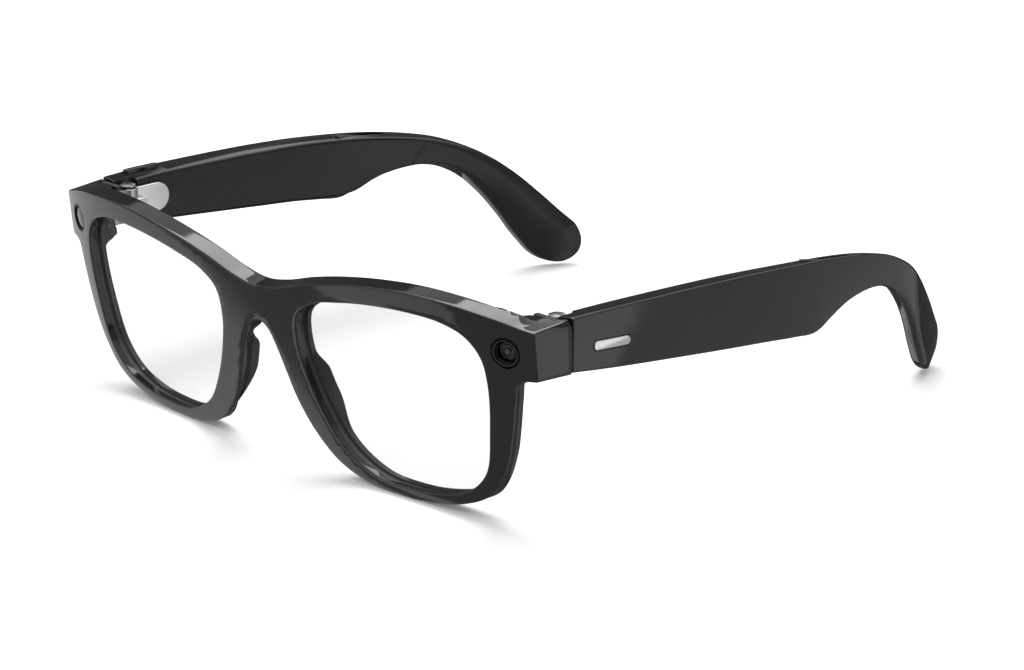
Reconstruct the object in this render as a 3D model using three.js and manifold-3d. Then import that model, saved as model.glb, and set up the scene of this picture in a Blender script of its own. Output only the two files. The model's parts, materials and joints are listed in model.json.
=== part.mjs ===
// Smart glasses: a glossy full-rim front with a camera and a light in its end pieces, and two
// folding temples that hold the speakers, the battery, the boards and the controls.
// Millimetres, +Z up. The glasses stand open on their rims and temple tips, and face -Y.
// The wearer's left is +X.
import * as THREE from 'three';
import { mergeVertices } from 'three/addons/utils/BufferGeometryUtils.js';
import Module from 'manifold-3d';

const wasm = await Module();
wasm.setup();

// ---------------------------------------------------------------- driving dimensions

const CLEARANCE = 0.3; // between neighbouring pieces
const SIDES = 16; // facets round a small turned piece
const LEFT = 1;
const RIGHT = -1;

// Front face: it wraps back towards the temples, leans back towards the cheeks and bulges a little.
const HALF_WIDTH = 71.9;
const BROW_HEIGHT = 44.8;
const WRAP_SOFT = 2.0; // setback at the corners that grows with the square of x
const WRAP_SHARP = 7.3; // setback at the corners that grows with the fourth power of x
const LEAN = 0.16; // setback per mm of drop
const BULGE = 1.0; // forward bow half way up the rims
const RIM_DEPTH = 6.2; // of the flat blank, before it is carried onto the face
const EDGE_ROUND = 0.8;
const OPENING_ROUND = 0.4;

// The finished depth starts from the lower rim's and gains towards the brow, bridge and end pieces.
const LOW_RIM_DEPTH = 4.6;
const BROW_LOSS = 0.3;
const END_GAIN = 4.9;
const NOSE_GAIN = 1.5; // behind the nose pads
const TOP_RISE = 0.9; // the brow's back edge stands this far above its front edge
const TOP_BAND = 3.0; // the rise fades out this far down
const END_TOP = 42.4; // height of the end pieces behind the rims
const SIDE_TAPER = 1.8; // how far the temple side of a rim draws in towards the back

// Lens groove, in depth behind the front face.
const LENS_FRONT = 1.7;
const LENS_BACK = 3.1;
const LENS_FACE_GAP = 0.5; // on each face, because both are curved
const LENS_OVERLAP = 0.7; // how far the lens reaches into the rim
const GROOVE_OVERLAP = LENS_OVERLAP + CLEARANCE;
const GROOVE_BACK = LENS_BACK + LENS_FACE_GAP;

// Nose pads: shells on the flared nose side of the rims.
const NOSE_FLARE = 2.2; // widening of the nose gap from the front edge to the rim's back
const PAD_WALL = 2.0;
const PAD_BOTTOM = 5.5;
const PAD_TOP = 21.5;
const PAD_FRONT = 3.0;
const PAD_BACK = 6.4;

// Camera and light: round windows in the end pieces.
const EYE_SIDES = 20;
const EYE = { x: 66.1, z: 36.6 };
const EYE_TURN = Math.atan(0.36); // outward turn of the face at the eye
const CAMERA_RING = 3.0;
const LIGHT_RING = 2.9;

// Hinge: vertical axis behind the end piece.
const HINGE = { x: 66.3, y: 20.8 };
const KNUCKLE_RADIUS = 2.0;
const HINGE_LOW = 33.2;
const HINGE_HIGH = 40.8;
const SPLIT = 18.6; // depth of the seam between end piece and temple

// Temple: section heights run square to its spine, from the hinge end to the ear tip.
const TEMPLE_BOTTOM = [
  [SPLIT + CLEARANCE, 31.9], [30, 30.7], [45, 29.2], [60, 27.7], [72, 26.5], [82, 25.4],
  [88.5, 25.2], [95, 27.4], [101, 28.8], [108, 29.1], [115, 27.8], [121, 24.4], [126.5, 19.4],
  [131.5, 13.4], [136, 7.4], [140, 3.2],
];
const TEMPLE_TOP = [
  [18.9, 42.4], [30, 42.5], [45, 42.2], [60, 41.7], [73, 41], [84, 40.1], [91, 39.4], [98.5, 38.4], [106, 37.1],
  [114, 35.2], [121, 32.6], [128, 29], [134.5, 24.2], [141, 18.2], [147, 12], [151.4, 7.6],
];
const TEMPLE_BOW = [[SPLIT, 69.1], [30, 70.2], [44, 71], [60, 71.6], [77, 71.8], [92, 71], [107, 69], [126, 65.1],
  [138, 60.6], [150, 54.8], [156, 51.6]];
const TEMPLE_HALF_WIDTH = [[SPLIT, 3], [60, 2.9], [77, 2.6], [92, 2.4], [107, 2.4], [126, 2.5], [156, 2.5]];
const TEMPLE_SLANT = 0.5; // the outer bottom edge hangs this far below the middle, the inner one sits above
const BEND_SLANT = 0.6; // more of it where the temple's depth steps up
const BEND = { depth: 93, spread: 7 };
const TIP_CAP = 5.34; // length of the rounded end beyond the last section
const TEMPLE_WALL = 1.0;
const TEMPLE_CORNER = 0.8;
const TIP_CORNER = 2.0;
const INNER_TOP_CORNER = 1.2;
const TOP_DROP = 0.4; // the top falls this far from its outer edge to its inner one

// ---------------------------------------------------------------- materials

function finish(color, roughness, metalness = 0, opacity = 1) {
  return new THREE.MeshStandardMaterial({ color, roughness, metalness, opacity, transparent: opacity < 1 });
}

const glossBlack = finish(0x17171a, 0.12);
const satinBlack = finish(0x1c1c1e, 0.45);
const padBlack = finish(0x242426, 0.6);
const clearLens = finish(0xe8ecec, 0.02, 0, 0.3);
const darkGlass = finish(0x08080c, 0.04, 0, 0.8);
const diffuser = finish(0x707072, 0.5);
const hingeSteel = finish(0xc4c5c6, 0.35, 1);
const badgeSteel = finish(0xb4b6ba, 0.2, 1);
const gold = finish(0xc8a24a, 0.3, 1);
const boardGreen = finish(0x1d3a2c, 0.6);
const cellSilver = finish(0x9a9c9f, 0.4, 0.6);
const cableAmber = finish(0x8a5a22, 0.5);
const meshGrey = finish(0x2c2c2e, 0.6, 0.5);

// ---------------------------------------------------------------- solids

function toSolid(geometry) {
  const bare = geometry.clone();
  bare.deleteAttribute('normal');
  bare.deleteAttribute('uv');
  const welded = mergeVertices(bare, 1e-4);
  return new wasm.Manifold(new wasm.Mesh({
    numProp: 3,
    vertProperties: new Float32Array(welded.attributes.position.array),
    triVerts: new Uint32Array(welded.index.array),
  }));
}

function toGeometry(solid) {
  const mesh = solid.getMesh();
  const geometry = new THREE.BufferGeometry();
  geometry.setAttribute('position', new THREE.BufferAttribute(new Float32Array(mesh.vertProperties), 3));
  geometry.setIndex(new THREE.BufferAttribute(new Uint32Array(mesh.triVerts), 1));
  return geometry;
}

function cut(geometry, ...tools) {
  return toGeometry(tools.reduce((solid, tool) => solid.subtract(toSolid(tool)), toSolid(geometry)));
}

function join(geometry, ...others) {
  return toGeometry(others.reduce((solid, other) => solid.add(toSolid(other)), toSolid(geometry)));
}

function common(geometry, other) {
  return toGeometry(toSolid(geometry).intersect(toSolid(other)));
}

function mirrored(geometry) {
  const copy = geometry.index ? geometry.clone() : mergeVertices(geometry);
  copy.scale(-1, 1, 1);
  const index = copy.index.array;
  for (let i = 0; i < index.length; i += 3) {
    [index[i], index[i + 1]] = [index[i + 1], index[i]];
  }
  return copy;
}

function onSide(geometry, side) {
  return side === LEFT ? geometry : mirrored(geometry);
}

function box([x0, x1], [y0, y1], [z0, z1]) {
  const geometry = new THREE.BoxGeometry(x1 - x0, y1 - y0, z1 - z0);
  return geometry.translate((x0 + x1) / 2, (y0 + y1) / 2, (z0 + z1) / 2);
}

function uprightPin(x, y, radius, [z0, z1]) {
  const geometry = new THREE.CylinderGeometry(radius, radius, z1 - z0, SIDES);
  return geometry.rotateX(Math.PI / 2).translate(x, y, (z0 + z1) / 2);
}

// A round solid about the Y axis from [radius, y] pairs that start and end on the axis.
function turned(profile, segments = SIDES) {
  return new THREE.LatheGeometry(profile.map(([r, y]) => new THREE.Vector2(r, y)), segments);
}

// A closed skin over a row of rings that have the same number of points.
function loft(rings) {
  const count = rings[0].length;
  const points = rings.flat();
  const triangles = [];
  for (let ring = 0; ring < rings.length - 1; ring += 1) {
    for (let i = 0; i < count; i += 1) {
      const a = ring * count + i;
      const b = ring * count + ((i + 1) % count);
      triangles.push(a, b, a + count, b, b + count, a + count);
    }
  }
  for (const [ring, flip] of [[0, true], [rings.length - 1, false]]) {
    const centre = rings[ring].reduce((sum, p) => sum.add(p), new THREE.Vector3()).divideScalar(count);
    const hub = points.push(centre) - 1;
    for (let i = 0; i < count; i += 1) {
      const a = ring * count + i;
      const b = ring * count + ((i + 1) % count);
      triangles.push(...(flip ? [b, a, hub] : [a, b, hub]));
    }
  }
  const geometry = new THREE.BufferGeometry().setFromPoints(points);
  geometry.setIndex(triangles);
  return signedVolume(geometry) < 0 ? turnedInsideOut(geometry) : geometry;
}

function signedVolume(geometry) {
  const { position } = geometry.attributes;
  const corner = [0, 1, 2].map(() => new THREE.Vector3());
  let volume = 0;
  for (let i = 0; i < geometry.index.count; i += 3) {
    corner.forEach((p, k) => p.fromBufferAttribute(position, geometry.index.getX(i + k)));
    volume += corner[0].dot(corner[1].cross(corner[2])) / 6;
  }
  return volume;
}

function turnedInsideOut(geometry) {
  const index = geometry.index.array;
  for (let i = 0; i < index.length; i += 3) {
    [index[i], index[i + 1]] = [index[i + 1], index[i]];
  }
  return geometry;
}

// ---------------------------------------------------------------- outlines of the front, in x and z

function smooth(points, closed, steps) {
  const curve = new THREE.CatmullRomCurve3(points.map(([x, z]) => new THREE.Vector3(x, z, 0)), closed, 'centripetal');
  const samples = curve.getPoints(steps * (closed ? points.length : points.length - 1));
  if (closed) samples.pop();
  return samples.map((p) => new THREE.Vector2(p.x, p.y));
}

function mirrorPoints(points) {
  return points.map((p) => new THREE.Vector2(-p.x, p.y)).reverse();
}

const BROW = [[0, 37.1], [6.5, 38.1], [14.5, 40.4], [23, 42.3], [33, 43.9], [44, BROW_HEIGHT], [54, 44.5],
  [63.5, 43.2], [HALF_WIDTH, 41.3]];
const END_UNDERSIDE = [HALF_WIDTH, 31.4];
const FOOT = -0.6; // height of the lowest edge
const CHEEK = [[69, 31.2], [67.9, 30.3], [67.1, 26.5], [65.7, 19.5], [64.1, 13.6], [61.4, 8.4],
  [57.5, 4.2], [51.5, 1.5], [45, 0.1], [38.5, FOOT]];
const FLAT_END = 31; // the rim rests on the straight run from here to the cheek curve's end
const NOSE = [[FLAT_END, FOOT], [24.5, 0.3], [18, 3], [12.8, 8], [8.9, 14.3], [6.6, 20.3], [4.8, 24.8], [2.8, 28.3]];
const NOSE_TOP = [0, 29.7];
const LENS_OPENING = [[45, 40.8], [52.5, 40.2], [57.6, 38.2], [60.6, 34.6], [61.6, 29], [60.9, 19.6], [58.6, 9.9],
  [53.5, 4.9], [46, 2.6], [37.5, 1.8], [29, 2.4], [21.5, 6.4], [16.4, 13.6], [13.1, 21.5], [11.8, 28],
  [12.8, 33.6], [17.5, 36.9], [26, 39], [35, 40.3]];

function noseArch(steps) {
  return smooth([...NOSE, NOSE_TOP, ...NOSE.map(([x, z]) => [-x, z]).reverse()], false, steps);
}

function browLine(steps) {
  const half = BROW.slice(1);
  return smooth([...half.map(([x, z]) => [-x, z]).reverse(), BROW[0], ...half], false, steps);
}

function frontOutline() {
  const cheek = [new THREE.Vector2(...END_UNDERSIDE), ...smooth(CHEEK, false, 2)];
  return [...browLine(2), ...cheek, ...noseArch(2), ...mirrorPoints(cheek)];
}

function lensOutline(grow) {
  return inflate(smooth(LENS_OPENING, true, 2), grow);
}

// Moves every point of a closed outline outward, square to its neighbours.
function inflate(points, distance) {
  const turn = THREE.ShapeUtils.isClockWise(points) ? -1 : 1;
  return points.map((p, i) => {
    const before = points.at(i - 1);
    const after = points[(i + 1) % points.length];
    const along = after.clone().sub(before).normalize();
    const outward = typeof distance === 'function' ? distance(p) : distance;
    return new THREE.Vector2(p.x + along.y * turn * outward, p.y - along.x * turn * outward);
  });
}

// ---------------------------------------------------------------- the curved front

function faceSetback(x, z) {
  const reach = Math.abs(x) / HALF_WIDTH;
  const middle = 1 - ((z - BROW_HEIGHT / 2) / (BROW_HEIGHT / 2)) ** 2;
  return WRAP_SOFT * reach ** 2 + WRAP_SHARP * reach ** 4 + LEAN * (BROW_HEIGHT - z) - BULGE * middle;
}

// Distance inwards from the nose arch, measured level.
function reachFromNose(x, z) {
  return Math.abs(x) - readCurve(NOSE.map(([across, up]) => [up, across]), z);
}

function rimDepth(x, z) {
  const { smoothstep } = THREE.MathUtils;
  const end = smoothstep(Math.abs(x), 61.5, 65) * smoothstep(z, 29.8, 31.3);
  const nose = smoothstep(z, 8, 16) * (1 - smoothstep(z, 20, 25)) * (1 - smoothstep(reachFromNose(x, z), 2.5, 6));
  return LOW_RIM_DEPTH - BROW_LOSS * smoothstep(z, 6, 38) + END_GAIN * end + NOSE_GAIN * nose;
}

// How far the top edge is lifted: it climbs backwards along the brow and levels out over the end pieces.
function topLift(x, z, depth) {
  const { smoothstep, lerp } = THREE.MathUtils;
  const top = readCurve(BROW, Math.abs(x));
  const behindRim = smoothstep(depth, 4.3, 6) * smoothstep(Math.abs(x), 58, 62);
  const lift = lerp(TOP_RISE * Math.min(depth / 4, 1), END_TOP - top, behindRim);
  return lift * smoothstep(z, top - TOP_BAND, top);
}

function rimBack(x, z) {
  return faceSetback(x, z) + rimDepth(x, z);
}

// The finished depth of a point of the blank: only what lies behind the lens groove is stretched.
function stretched(depth, x, z) {
  const stretch = (rimDepth(x, z) - GROOVE_BACK) / (RIM_DEPTH - GROOVE_BACK);
  return depth < GROOVE_BACK ? depth : GROOVE_BACK + (depth - GROOVE_BACK) * stretch;
}

// Carries a flat piece, with depth along Y, onto the curved face.
function bent(geometry) {
  const { position } = geometry.attributes;
  for (let i = 0; i < position.count; i += 1) {
    const x = position.getX(i);
    const z = position.getZ(i);
    const depth = stretched(position.getY(i), x, z);
    position.setY(i, faceSetback(x, z) + depth);
    position.setZ(i, z + topLift(x, z, depth));
  }
  return geometry;
}

// An upright plate with holes, through levels of [depth, outline inset, hole growth] from front to back.
function steppedPlate(outline, holes, levels) {
  const { isClockWise, triangulateShape } = THREE.ShapeUtils;
  const loops = [isClockWise(outline) ? outline.toReversed() : outline,
    ...holes.map((hole) => (isClockWise(hole) ? hole : hole.toReversed()))];
  const stack = levels.map(([depth, inset, growth]) => loops.map((loop, i) => (
    inflate(loop, i === 0 ? (p) => -inset(p) : growth).map((p) => new THREE.Vector3(p.x, depth, p.y))
  )));
  const points = stack.flat(2);
  const perLevel = points.length / levels.length;
  const triangles = [];
  for (const level of [0, levels.length - 1]) {
    const [edge, ...rest] = stack[level].map((loop) => loop.map((p) => new THREE.Vector2(p.x, p.z)));
    for (const [a, b, c] of triangulateShape(edge, rest)) {
      const face = level === 0 ? [a, b, c] : [c, b, a];
      triangles.push(...face.map((i) => i + level * perLevel));
    }
  }
  let start = 0;
  for (const loop of loops) {
    triangles.push(...loopWalls(start, loop.length, perLevel, levels.length));
    start += loop.length;
  }
  const geometry = new THREE.BufferGeometry().setFromPoints(points);
  geometry.setIndex(triangles);
  return geometry;
}

// Walls between the levels of one loop, whose points start at one index of each level.
function loopWalls(start, count, perLevel, levels) {
  const triangles = [];
  for (let level = 0; level < levels - 1; level += 1) {
    for (let i = 0; i < count; i += 1) {
      const a = level * perLevel + start + i;
      const b = level * perLevel + start + ((i + 1) % count);
      triangles.push(a, a + perLevel, b, b, a + perLevel, b + perLevel);
    }
  }
  return triangles;
}

function plate(outline, [front, back]) {
  return steppedPlate(outline, [], [[front, () => 0, 0], [back, () => 0, 0]]);
}

function sideTaper(p) {
  const { smoothstep } = THREE.MathUtils;
  return SIDE_TAPER * smoothstep(Math.abs(p.x), 50, 62) * (1 - smoothstep(p.y, 28.5, 30.5));
}

function frontBlank() {
  const holes = [lensOutline(0), mirrorPoints(lensOutline(0))];
  return steppedPlate(frontOutline(), holes, [
    [0, () => EDGE_ROUND, OPENING_ROUND],
    [EDGE_ROUND / 2, () => EDGE_ROUND / 4, 0],
    [1.4, () => 0, 0],
    [3.2, (p) => 0.6 * sideTaper(p), 0],
    [4.4, (p) => 0.8 * sideTaper(p), 0],
    [RIM_DEPTH - EDGE_ROUND / 2, (p) => sideTaper(p) + 0.05, 0],
    [RIM_DEPTH, (p) => sideTaper(p) + 0.4, OPENING_ROUND],
  ]);
}

// The flared space between the rims, grown sideways into them.
function noseSpace(grow) {
  const arch = noseArch(2);
  const rings = [-1, 1.2, 3, 5, 7, 10].map((depth) => {
    const flare = NOSE_FLARE * Math.max(0, depth - 1.2) / (RIM_DEPTH - 1.2);
    const moved = inflate([...arch, new THREE.Vector2(-FLAT_END, -6), new THREE.Vector2(FLAT_END, -6)], (p) => {
      const low = THREE.MathUtils.smoothstep(p.y, 0, 6);
      const high = 1 - THREE.MathUtils.smoothstep(p.y, 22, 28);
      return low * (flare * high + grow * (p.y < 27 ? 1 : 0));
    });
    return moved.map((p) => new THREE.Vector3(p.x, depth, p.y));
  });
  return loft(rings);
}

function nosePad() {
  const wall = cut(noseSpace(PAD_WALL), noseSpace(0));
  return bent(common(wall, box([0, 30], [PAD_FRONT, PAD_BACK], [PAD_BOTTOM, PAD_TOP])));
}

function padRecess() {
  const margin = CLEARANCE;
  const reach = box([-30, 30], [PAD_FRONT - margin, 12], [PAD_BOTTOM - margin, PAD_TOP + margin]);
  return common(noseSpace(PAD_WALL + margin), reach);
}

function lens() {
  const outline = lensOutline(LENS_OVERLAP);
  const centre = new THREE.Vector2(37, 22);
  const spread = [0.1, 0.5, 0.8, 1];
  const ringAt = (scale, depth) => outline.map((p) => {
    const q = p.clone().lerp(centre, 1 - scale);
    return new THREE.Vector3(q.x, depth, q.y);
  });
  const front = spread.map((scale) => ringAt(scale, LENS_FRONT));
  const back = spread.map((scale) => ringAt(scale, LENS_BACK)).reverse();
  return bent(loft([...front, ...back]));
}

const CABLE_DEPTH = [1.5, 2.7];
const CABLE_TUNNEL_DEPTH = [1.0, 3.2];
const CABLE_DROP = 1.45; // below the brow line
const CABLE_END = { x: 64.4, z: 40.2 }; // inside the end piece

// A flat strip that follows the brow line from one end piece to the other.
function browStrip(width, [front, back]) {
  const middle = smooth([...BROW.slice(1).map(([x, z]) => [-x, z]).reverse(), ...BROW], false, 2)
    .filter((p) => Math.abs(p.x) < 59);
  const { x, z } = CABLE_END;
  const line = [new THREE.Vector2(-x, z + CABLE_DROP), ...middle, new THREE.Vector2(x, z + CABLE_DROP)];
  const upper = line.map((p) => new THREE.Vector2(p.x, p.y - CABLE_DROP + width / 2));
  const lower = line.map((p) => new THREE.Vector2(p.x, p.y - CABLE_DROP - width / 2)).reverse();
  return bent(plate([...upper, ...lower], [front, back]));
}

const END_BLOCK = { x: [58, 74], z: [20, 50] }; // the end pieces are cut off flat behind this
const HINGE_CHAMBER = [[64.4, 70.4], [10.6, 24], [33, 40.9]];
const COVER_REBATE = [[64.1, 70.4], [15.9, 24], [32.6, 46]];
const CABLE_EXIT = [[63.9, 66], [8.3, 11], [39.4, 40.9]];

function frontFrame() {
  const grooves = [lensOutline(GROOVE_OVERLAP), mirrorPoints(lensOutline(GROOVE_OVERLAP))]
    .map((outline) => plate(outline, [LENS_FRONT - LENS_FACE_GAP, GROOVE_BACK]));
  const body = bent(cut(frontBlank(), ...grooves, noseSpace(0), padRecess()));
  const pockets = [LEFT, RIGHT].flatMap((side) => [
    ...[HINGE_CHAMBER, COVER_REBATE, CABLE_EXIT].map((space) => onSide(box(...space), side)),
    eyeBore(side, side === LEFT ? CAMERA_RING : LIGHT_RING),
    onSide(box(END_BLOCK.x, [SPLIT, 26], END_BLOCK.z), side),
    onSide(contactPocket(), side),
  ]);
  return cut(body, ...pockets, browStrip(1.2, CABLE_TUNNEL_DEPTH), microphonePocket());
}

// ---------------------------------------------------------------- camera and light

function eyeGroup(side) {
  const group = new THREE.Group();
  group.position.set(side * EYE.x, faceSetback(EYE.x, EYE.z), EYE.z);
  group.rotation.set(Math.atan(LEAN), 0, side * EYE_TURN, 'ZXY');
  group.updateMatrix();
  return group;
}

function eyeBore(side, radius) {
  const bore = turned([[0, -3], [radius + CLEARANCE, -3], [radius + CLEARANCE, 5], [0, 5]], EYE_SIDES);
  return bore.applyMatrix4(eyeGroup(side).matrix);
}

function ring(outer, inner, front, back) {
  return turned([[inner, front], [outer, front], [outer, back], [inner, back], [inner, front]], EYE_SIDES);
}

function cameraBezel() {
  return turned([[1.95, 0.55], [2.35, 0.1], [2.65, -0.05], [CAMERA_RING, 0.15], [CAMERA_RING, 1.8], [2.2, 1.8],
    [2.2, 1.1], [1.95, 1.1], [1.95, 0.55]], EYE_SIDES);
}

function cameraStack() {
  const group = eyeGroup(LEFT);
  const glass = turned([[0, 1.3], [1.9, 1.3], [1.9, 1.8], [0, 1.8]], EYE_SIDES);
  const barrel = turned([[0, 2.6], [0.8, 2.6], [1.2, 2.1], [1.7, 2.1], [1.9, 2.4], [1.9, 3.4], [0, 3.4]]);
  group.add(
    piece('camera_bezel', cameraBezel(), satinBlack),
    piece('camera_cover_glass', glass, darkGlass),
    piece('camera_lens_barrel', barrel, satinBlack),
    piece('camera_module', box([0.4, 3.8], [3.9, 5.6], [-2.6, 2.0]), satinBlack),
  );
  return group;
}

function lightStack() {
  const group = eyeGroup(RIGHT);
  const dome = turned([[0, 0.35], [1.1, 0.42], [1.9, 0.62], [2.1, 0.8], [2.1, 1.9], [0, 1.9]], EYE_SIDES);
  group.add(
    piece('capture_light_bezel', ring(LIGHT_RING, 2.4, 0.9, 2.2), satinBlack),
    piece('capture_light_diffuser', dome, diffuser),
    piece('capture_light_board', turned([[0, 2.6], [2.7, 2.6], [2.7, 3.4], [0, 3.4]]), boardGreen),
  );
  return group;
}

// ---------------------------------------------------------------- bridge electronics

const CONTACT = { x: 3.2, z: 33.6, radius: 1.0, depth: 1.2 };
const MICROPHONE_HEIGHT = 32.3;

function contactPocket() {
  const { x, z, radius } = CONTACT;
  const back = rimBack(x, z);
  const bore = turned([[0, -1.6], [radius + CLEARANCE, -1.6], [radius + CLEARANCE, 2], [0, 2]]);
  return bore.translate(x, back, z);
}

function contactPin() {
  const { x, z, radius, depth } = CONTACT;
  const back = rimBack(x, z);
  const pin = turned([[0, -depth], [radius, -depth], [radius, 0], [0.7, 0.2], [0, 0.2]]);
  return pin.translate(x, back, z);
}

function microphonePocket() {
  const back = rimBack(0, MICROPHONE_HEIGHT);
  return box([-1.5, 1.5], [back - 2, back + 2], [MICROPHONE_HEIGHT - 0.9, MICROPHONE_HEIGHT + 0.9]);
}

function noseMicrophone() {
  const back = rimBack(0, MICROPHONE_HEIGHT);
  return box([-1.2, 1.2], [back - 1.7, back - 0.3], [MICROPHONE_HEIGHT - 0.6, MICROPHONE_HEIGHT + 0.6]);
}

// ---------------------------------------------------------------- hinges

const KNUCKLE_GAP = [35.6, 38.3]; // the temple's knuckle sits between the front's two

function hingeArm([z0, z1], [y0, y1]) {
  const arm = box([HINGE.x - 1.4, HINGE.x + 1.4], [y0, y1], [z0, z1]);
  return join(arm, uprightPin(HINGE.x, HINGE.y, KNUCKLE_RADIUS, [z0, z1]));
}

function hingeBore(radius) {
  return uprightPin(HINGE.x, HINGE.y, radius, [HINGE_LOW - 2, HINGE_HIGH + 3]);
}

function frontLeaf() {
  const base = box([64.8, 69.9], [14.7, 15.6], [HINGE_LOW + 0.1, HINGE_HIGH - 0.1]);
  const lowArm = hingeArm([HINGE_LOW + 0.1, KNUCKLE_GAP[0]], [15.2, HINGE.y]);
  const highArm = hingeArm([KNUCKLE_GAP[1], HINGE_HIGH - 0.1], [15.2, HINGE.y]);
  return cut(join(base, lowArm, highArm), hingeBore(1.0));
}

const LEAF = { inner: 66.6, outer: 67.6, front: 24.6, middle: 29.2, height: 37, radius: 3.2 };

// A plate across x, square at its front end and round at its back one.
function leafShape([inner, outer], front, radius) {
  const { middle, height } = LEAF;
  const disc = new THREE.CylinderGeometry(radius, radius, outer - inner, 28).rotateZ(Math.PI / 2)
    .translate((inner + outer) / 2, middle, height);
  return join(disc, box([inner, outer], [front, middle], [height - radius, height + radius]));
}

function templeLeaf() {
  const reach = [KNUCKLE_GAP[0] + CLEARANCE, KNUCKLE_GAP[1] - CLEARANCE];
  const arm = hingeArm(reach, [HINGE.y, LEAF.front + 0.6]);
  const plate = leafShape([LEAF.inner, LEAF.outer], LEAF.front, LEAF.radius);
  return cut(join(arm, plate), hingeBore(1.0));
}

function hingeScrew() {
  const shaft = turned([[0, HINGE_LOW], [0.7, HINGE_LOW], [0.7, 41.05], [1.7, 41.05], [1.7, 41.5], [1.1, 42.0],
    [0, 42.15]]);
  return shaft.rotateX(Math.PI / 2).translate(HINGE.x, HINGE.y, 0);
}

function endCover() {
  const body = box([64.4, 70.1], [16.2, 17.5], [32.9, 42.2]);
  const slot = box([64, 68.1], [14, 20], [32, 41.1]);
  return cut(body, slot);
}

// ---------------------------------------------------------------- temples

function spine(pairs) {
  return new THREE.CatmullRomCurve3(pairs.map(([y, z]) => new THREE.Vector3(0, y, z)), false, 'centripetal');
}

const bottomLine = spine(TEMPLE_BOTTOM);
const topLine = spine(TEMPLE_TOP);

// Reads the smooth curve through [depth, value] pairs.
function readCurve(pairs, depth) {
  const last = pairs.length - 1;
  let i = 0;
  while (i < last - 1 && pairs[i + 1][0] <= depth) i += 1;
  const slope = (k) => {
    const [before, after] = [pairs[Math.max(k - 1, 0)], pairs[Math.min(k + 1, last)]];
    return (after[1] - before[1]) / (after[0] - before[0]);
  };
  const span = pairs[i + 1][0] - pairs[i][0];
  const f = (depth - pairs[i][0]) / span;
  const rise = f * f * (3 - 2 * f);
  const bend = span * (slope(i) * f * (1 - f) ** 2 - slope(i + 1) * f * f * (1 - f));
  return pairs[i][1] * (1 - rise) + pairs[i + 1][1] * rise + bend;
}

function stationAt(t) {
  const bottom = bottomLine.getPoint(t);
  const top = topLine.getPoint(t);
  const middle = bottom.clone().add(top).multiplyScalar(0.5);
  return {
    middle: middle.setX(readCurve(TEMPLE_BOW, middle.y)),
    up: top.clone().sub(bottom).normalize(),
    halfHeight: top.distanceTo(bottom) / 2,
    halfWidth: readCurve(TEMPLE_HALF_WIDTH, middle.y),
  };
}

// The place along the temple, from 0 to 1, whose middle lies at this depth.
function placeOf(depth) {
  let low = 0;
  let high = 1;
  for (let step = 0; step < 24; step += 1) {
    const t = (low + high) / 2;
    if (stationAt(t).middle.y < depth) low = t;
    else high = t;
  }
  return low;
}

// A rounded rectangle across the temple. Sides are distances from its bowed middle, ends are heights from
// the station's middle. The inner top corner may be rounder, and the bottom may slant down outwards.
function sectionRing(station, [inner, outer], [low, high], round, innerTop = round, slant = 0, drop = 0) {
  const limit = Math.min(outer - inner, high - low) / 2 - 0.01;
  const [r, top] = [Math.min(round, limit), Math.min(innerTop, limit)];
  const corners = [[outer - r, high - r, r], [inner + top, high - drop - top, top], [inner + r, low + slant + r, r],
    [outer - r, low - slant + r, r]];
  return corners.flatMap(([across, along, radius], quarter) => [0, 0.5, 1].map((step) => {
    const angle = (quarter + step) * Math.PI / 2;
    const p = station.middle.clone().addScaledVector(station.up, along + radius * Math.sin(angle));
    return p.setX(readCurve(TEMPLE_BOW, p.y) + across + radius * Math.cos(angle));
  }));
}

function slantAt(depth) {
  return TEMPLE_SLANT + BEND_SLANT * Math.exp(-(((depth - BEND.depth) / BEND.spread) ** 2));
}

function templeRings(depths, sides, ends, round) {
  return depths.map((depth) => {
    const station = stationAt(placeOf(depth));
    return sectionRing(station, sides(station), ends(station), round);
  });
}

function spaced(from, to, count) {
  return Array.from({ length: count + 1 }, (_, i) => THREE.MathUtils.lerp(from, to, i / count));
}

function templeBody() {
  const { lerp, smoothstep } = THREE.MathUtils;
  const rings = spaced(0, 1, 24).map((t) => {
    const s = stationAt(t);
    const crisp = 1 - smoothstep(t, 0.6, 0.9);
    const round = lerp(TIP_CORNER, TEMPLE_CORNER, crisp);
    const innerTop = lerp(TIP_CORNER, INNER_TOP_CORNER, crisp);
    return sectionRing(s, [-s.halfWidth, s.halfWidth], [-s.halfHeight, s.halfHeight], round, innerTop,
      slantAt(s.middle.y) * crisp, TOP_DROP * crisp);
  });
  const last = stationAt(1);
  const outward = new THREE.Vector3(0, last.up.z, -last.up.y);
  for (const e of [0.35, 0.65, 0.86, 0.97]) {
    const shrink = Math.sqrt(1 - e * e);
    const middle = last.middle.clone().addScaledVector(outward, TIP_CAP * e);
    const [w, h] = [last.halfWidth * shrink, last.halfHeight * shrink];
    rings.push(sectionRing({ ...last, middle }, [-w, w], [-h, h], TIP_CORNER * shrink));
  }
  return loft(rings);
}

const POCKET = [27.5, 108];
const COVER_WALL = 0.9;

function pocketRings([from, to], sides, inset, round) {
  return templeRings(spaced(from, to, 12), sides, (s) => [-s.halfHeight + inset, s.halfHeight - inset], round);
}

function templePocket() {
  const sides = (s) => [-s.halfWidth - 2, s.halfWidth - TEMPLE_WALL];
  return loft(pocketRings(POCKET, sides, TEMPLE_WALL, 0.6));
}

function innerCover() {
  const sides = (s) => [-s.halfWidth, -s.halfWidth + COVER_WALL];
  const ends = [POCKET[0] + CLEARANCE, POCKET[1] - CLEARANCE];
  return loft(pocketRings(ends, sides, TEMPLE_WALL + CLEARANCE, 0.3));
}

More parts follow.
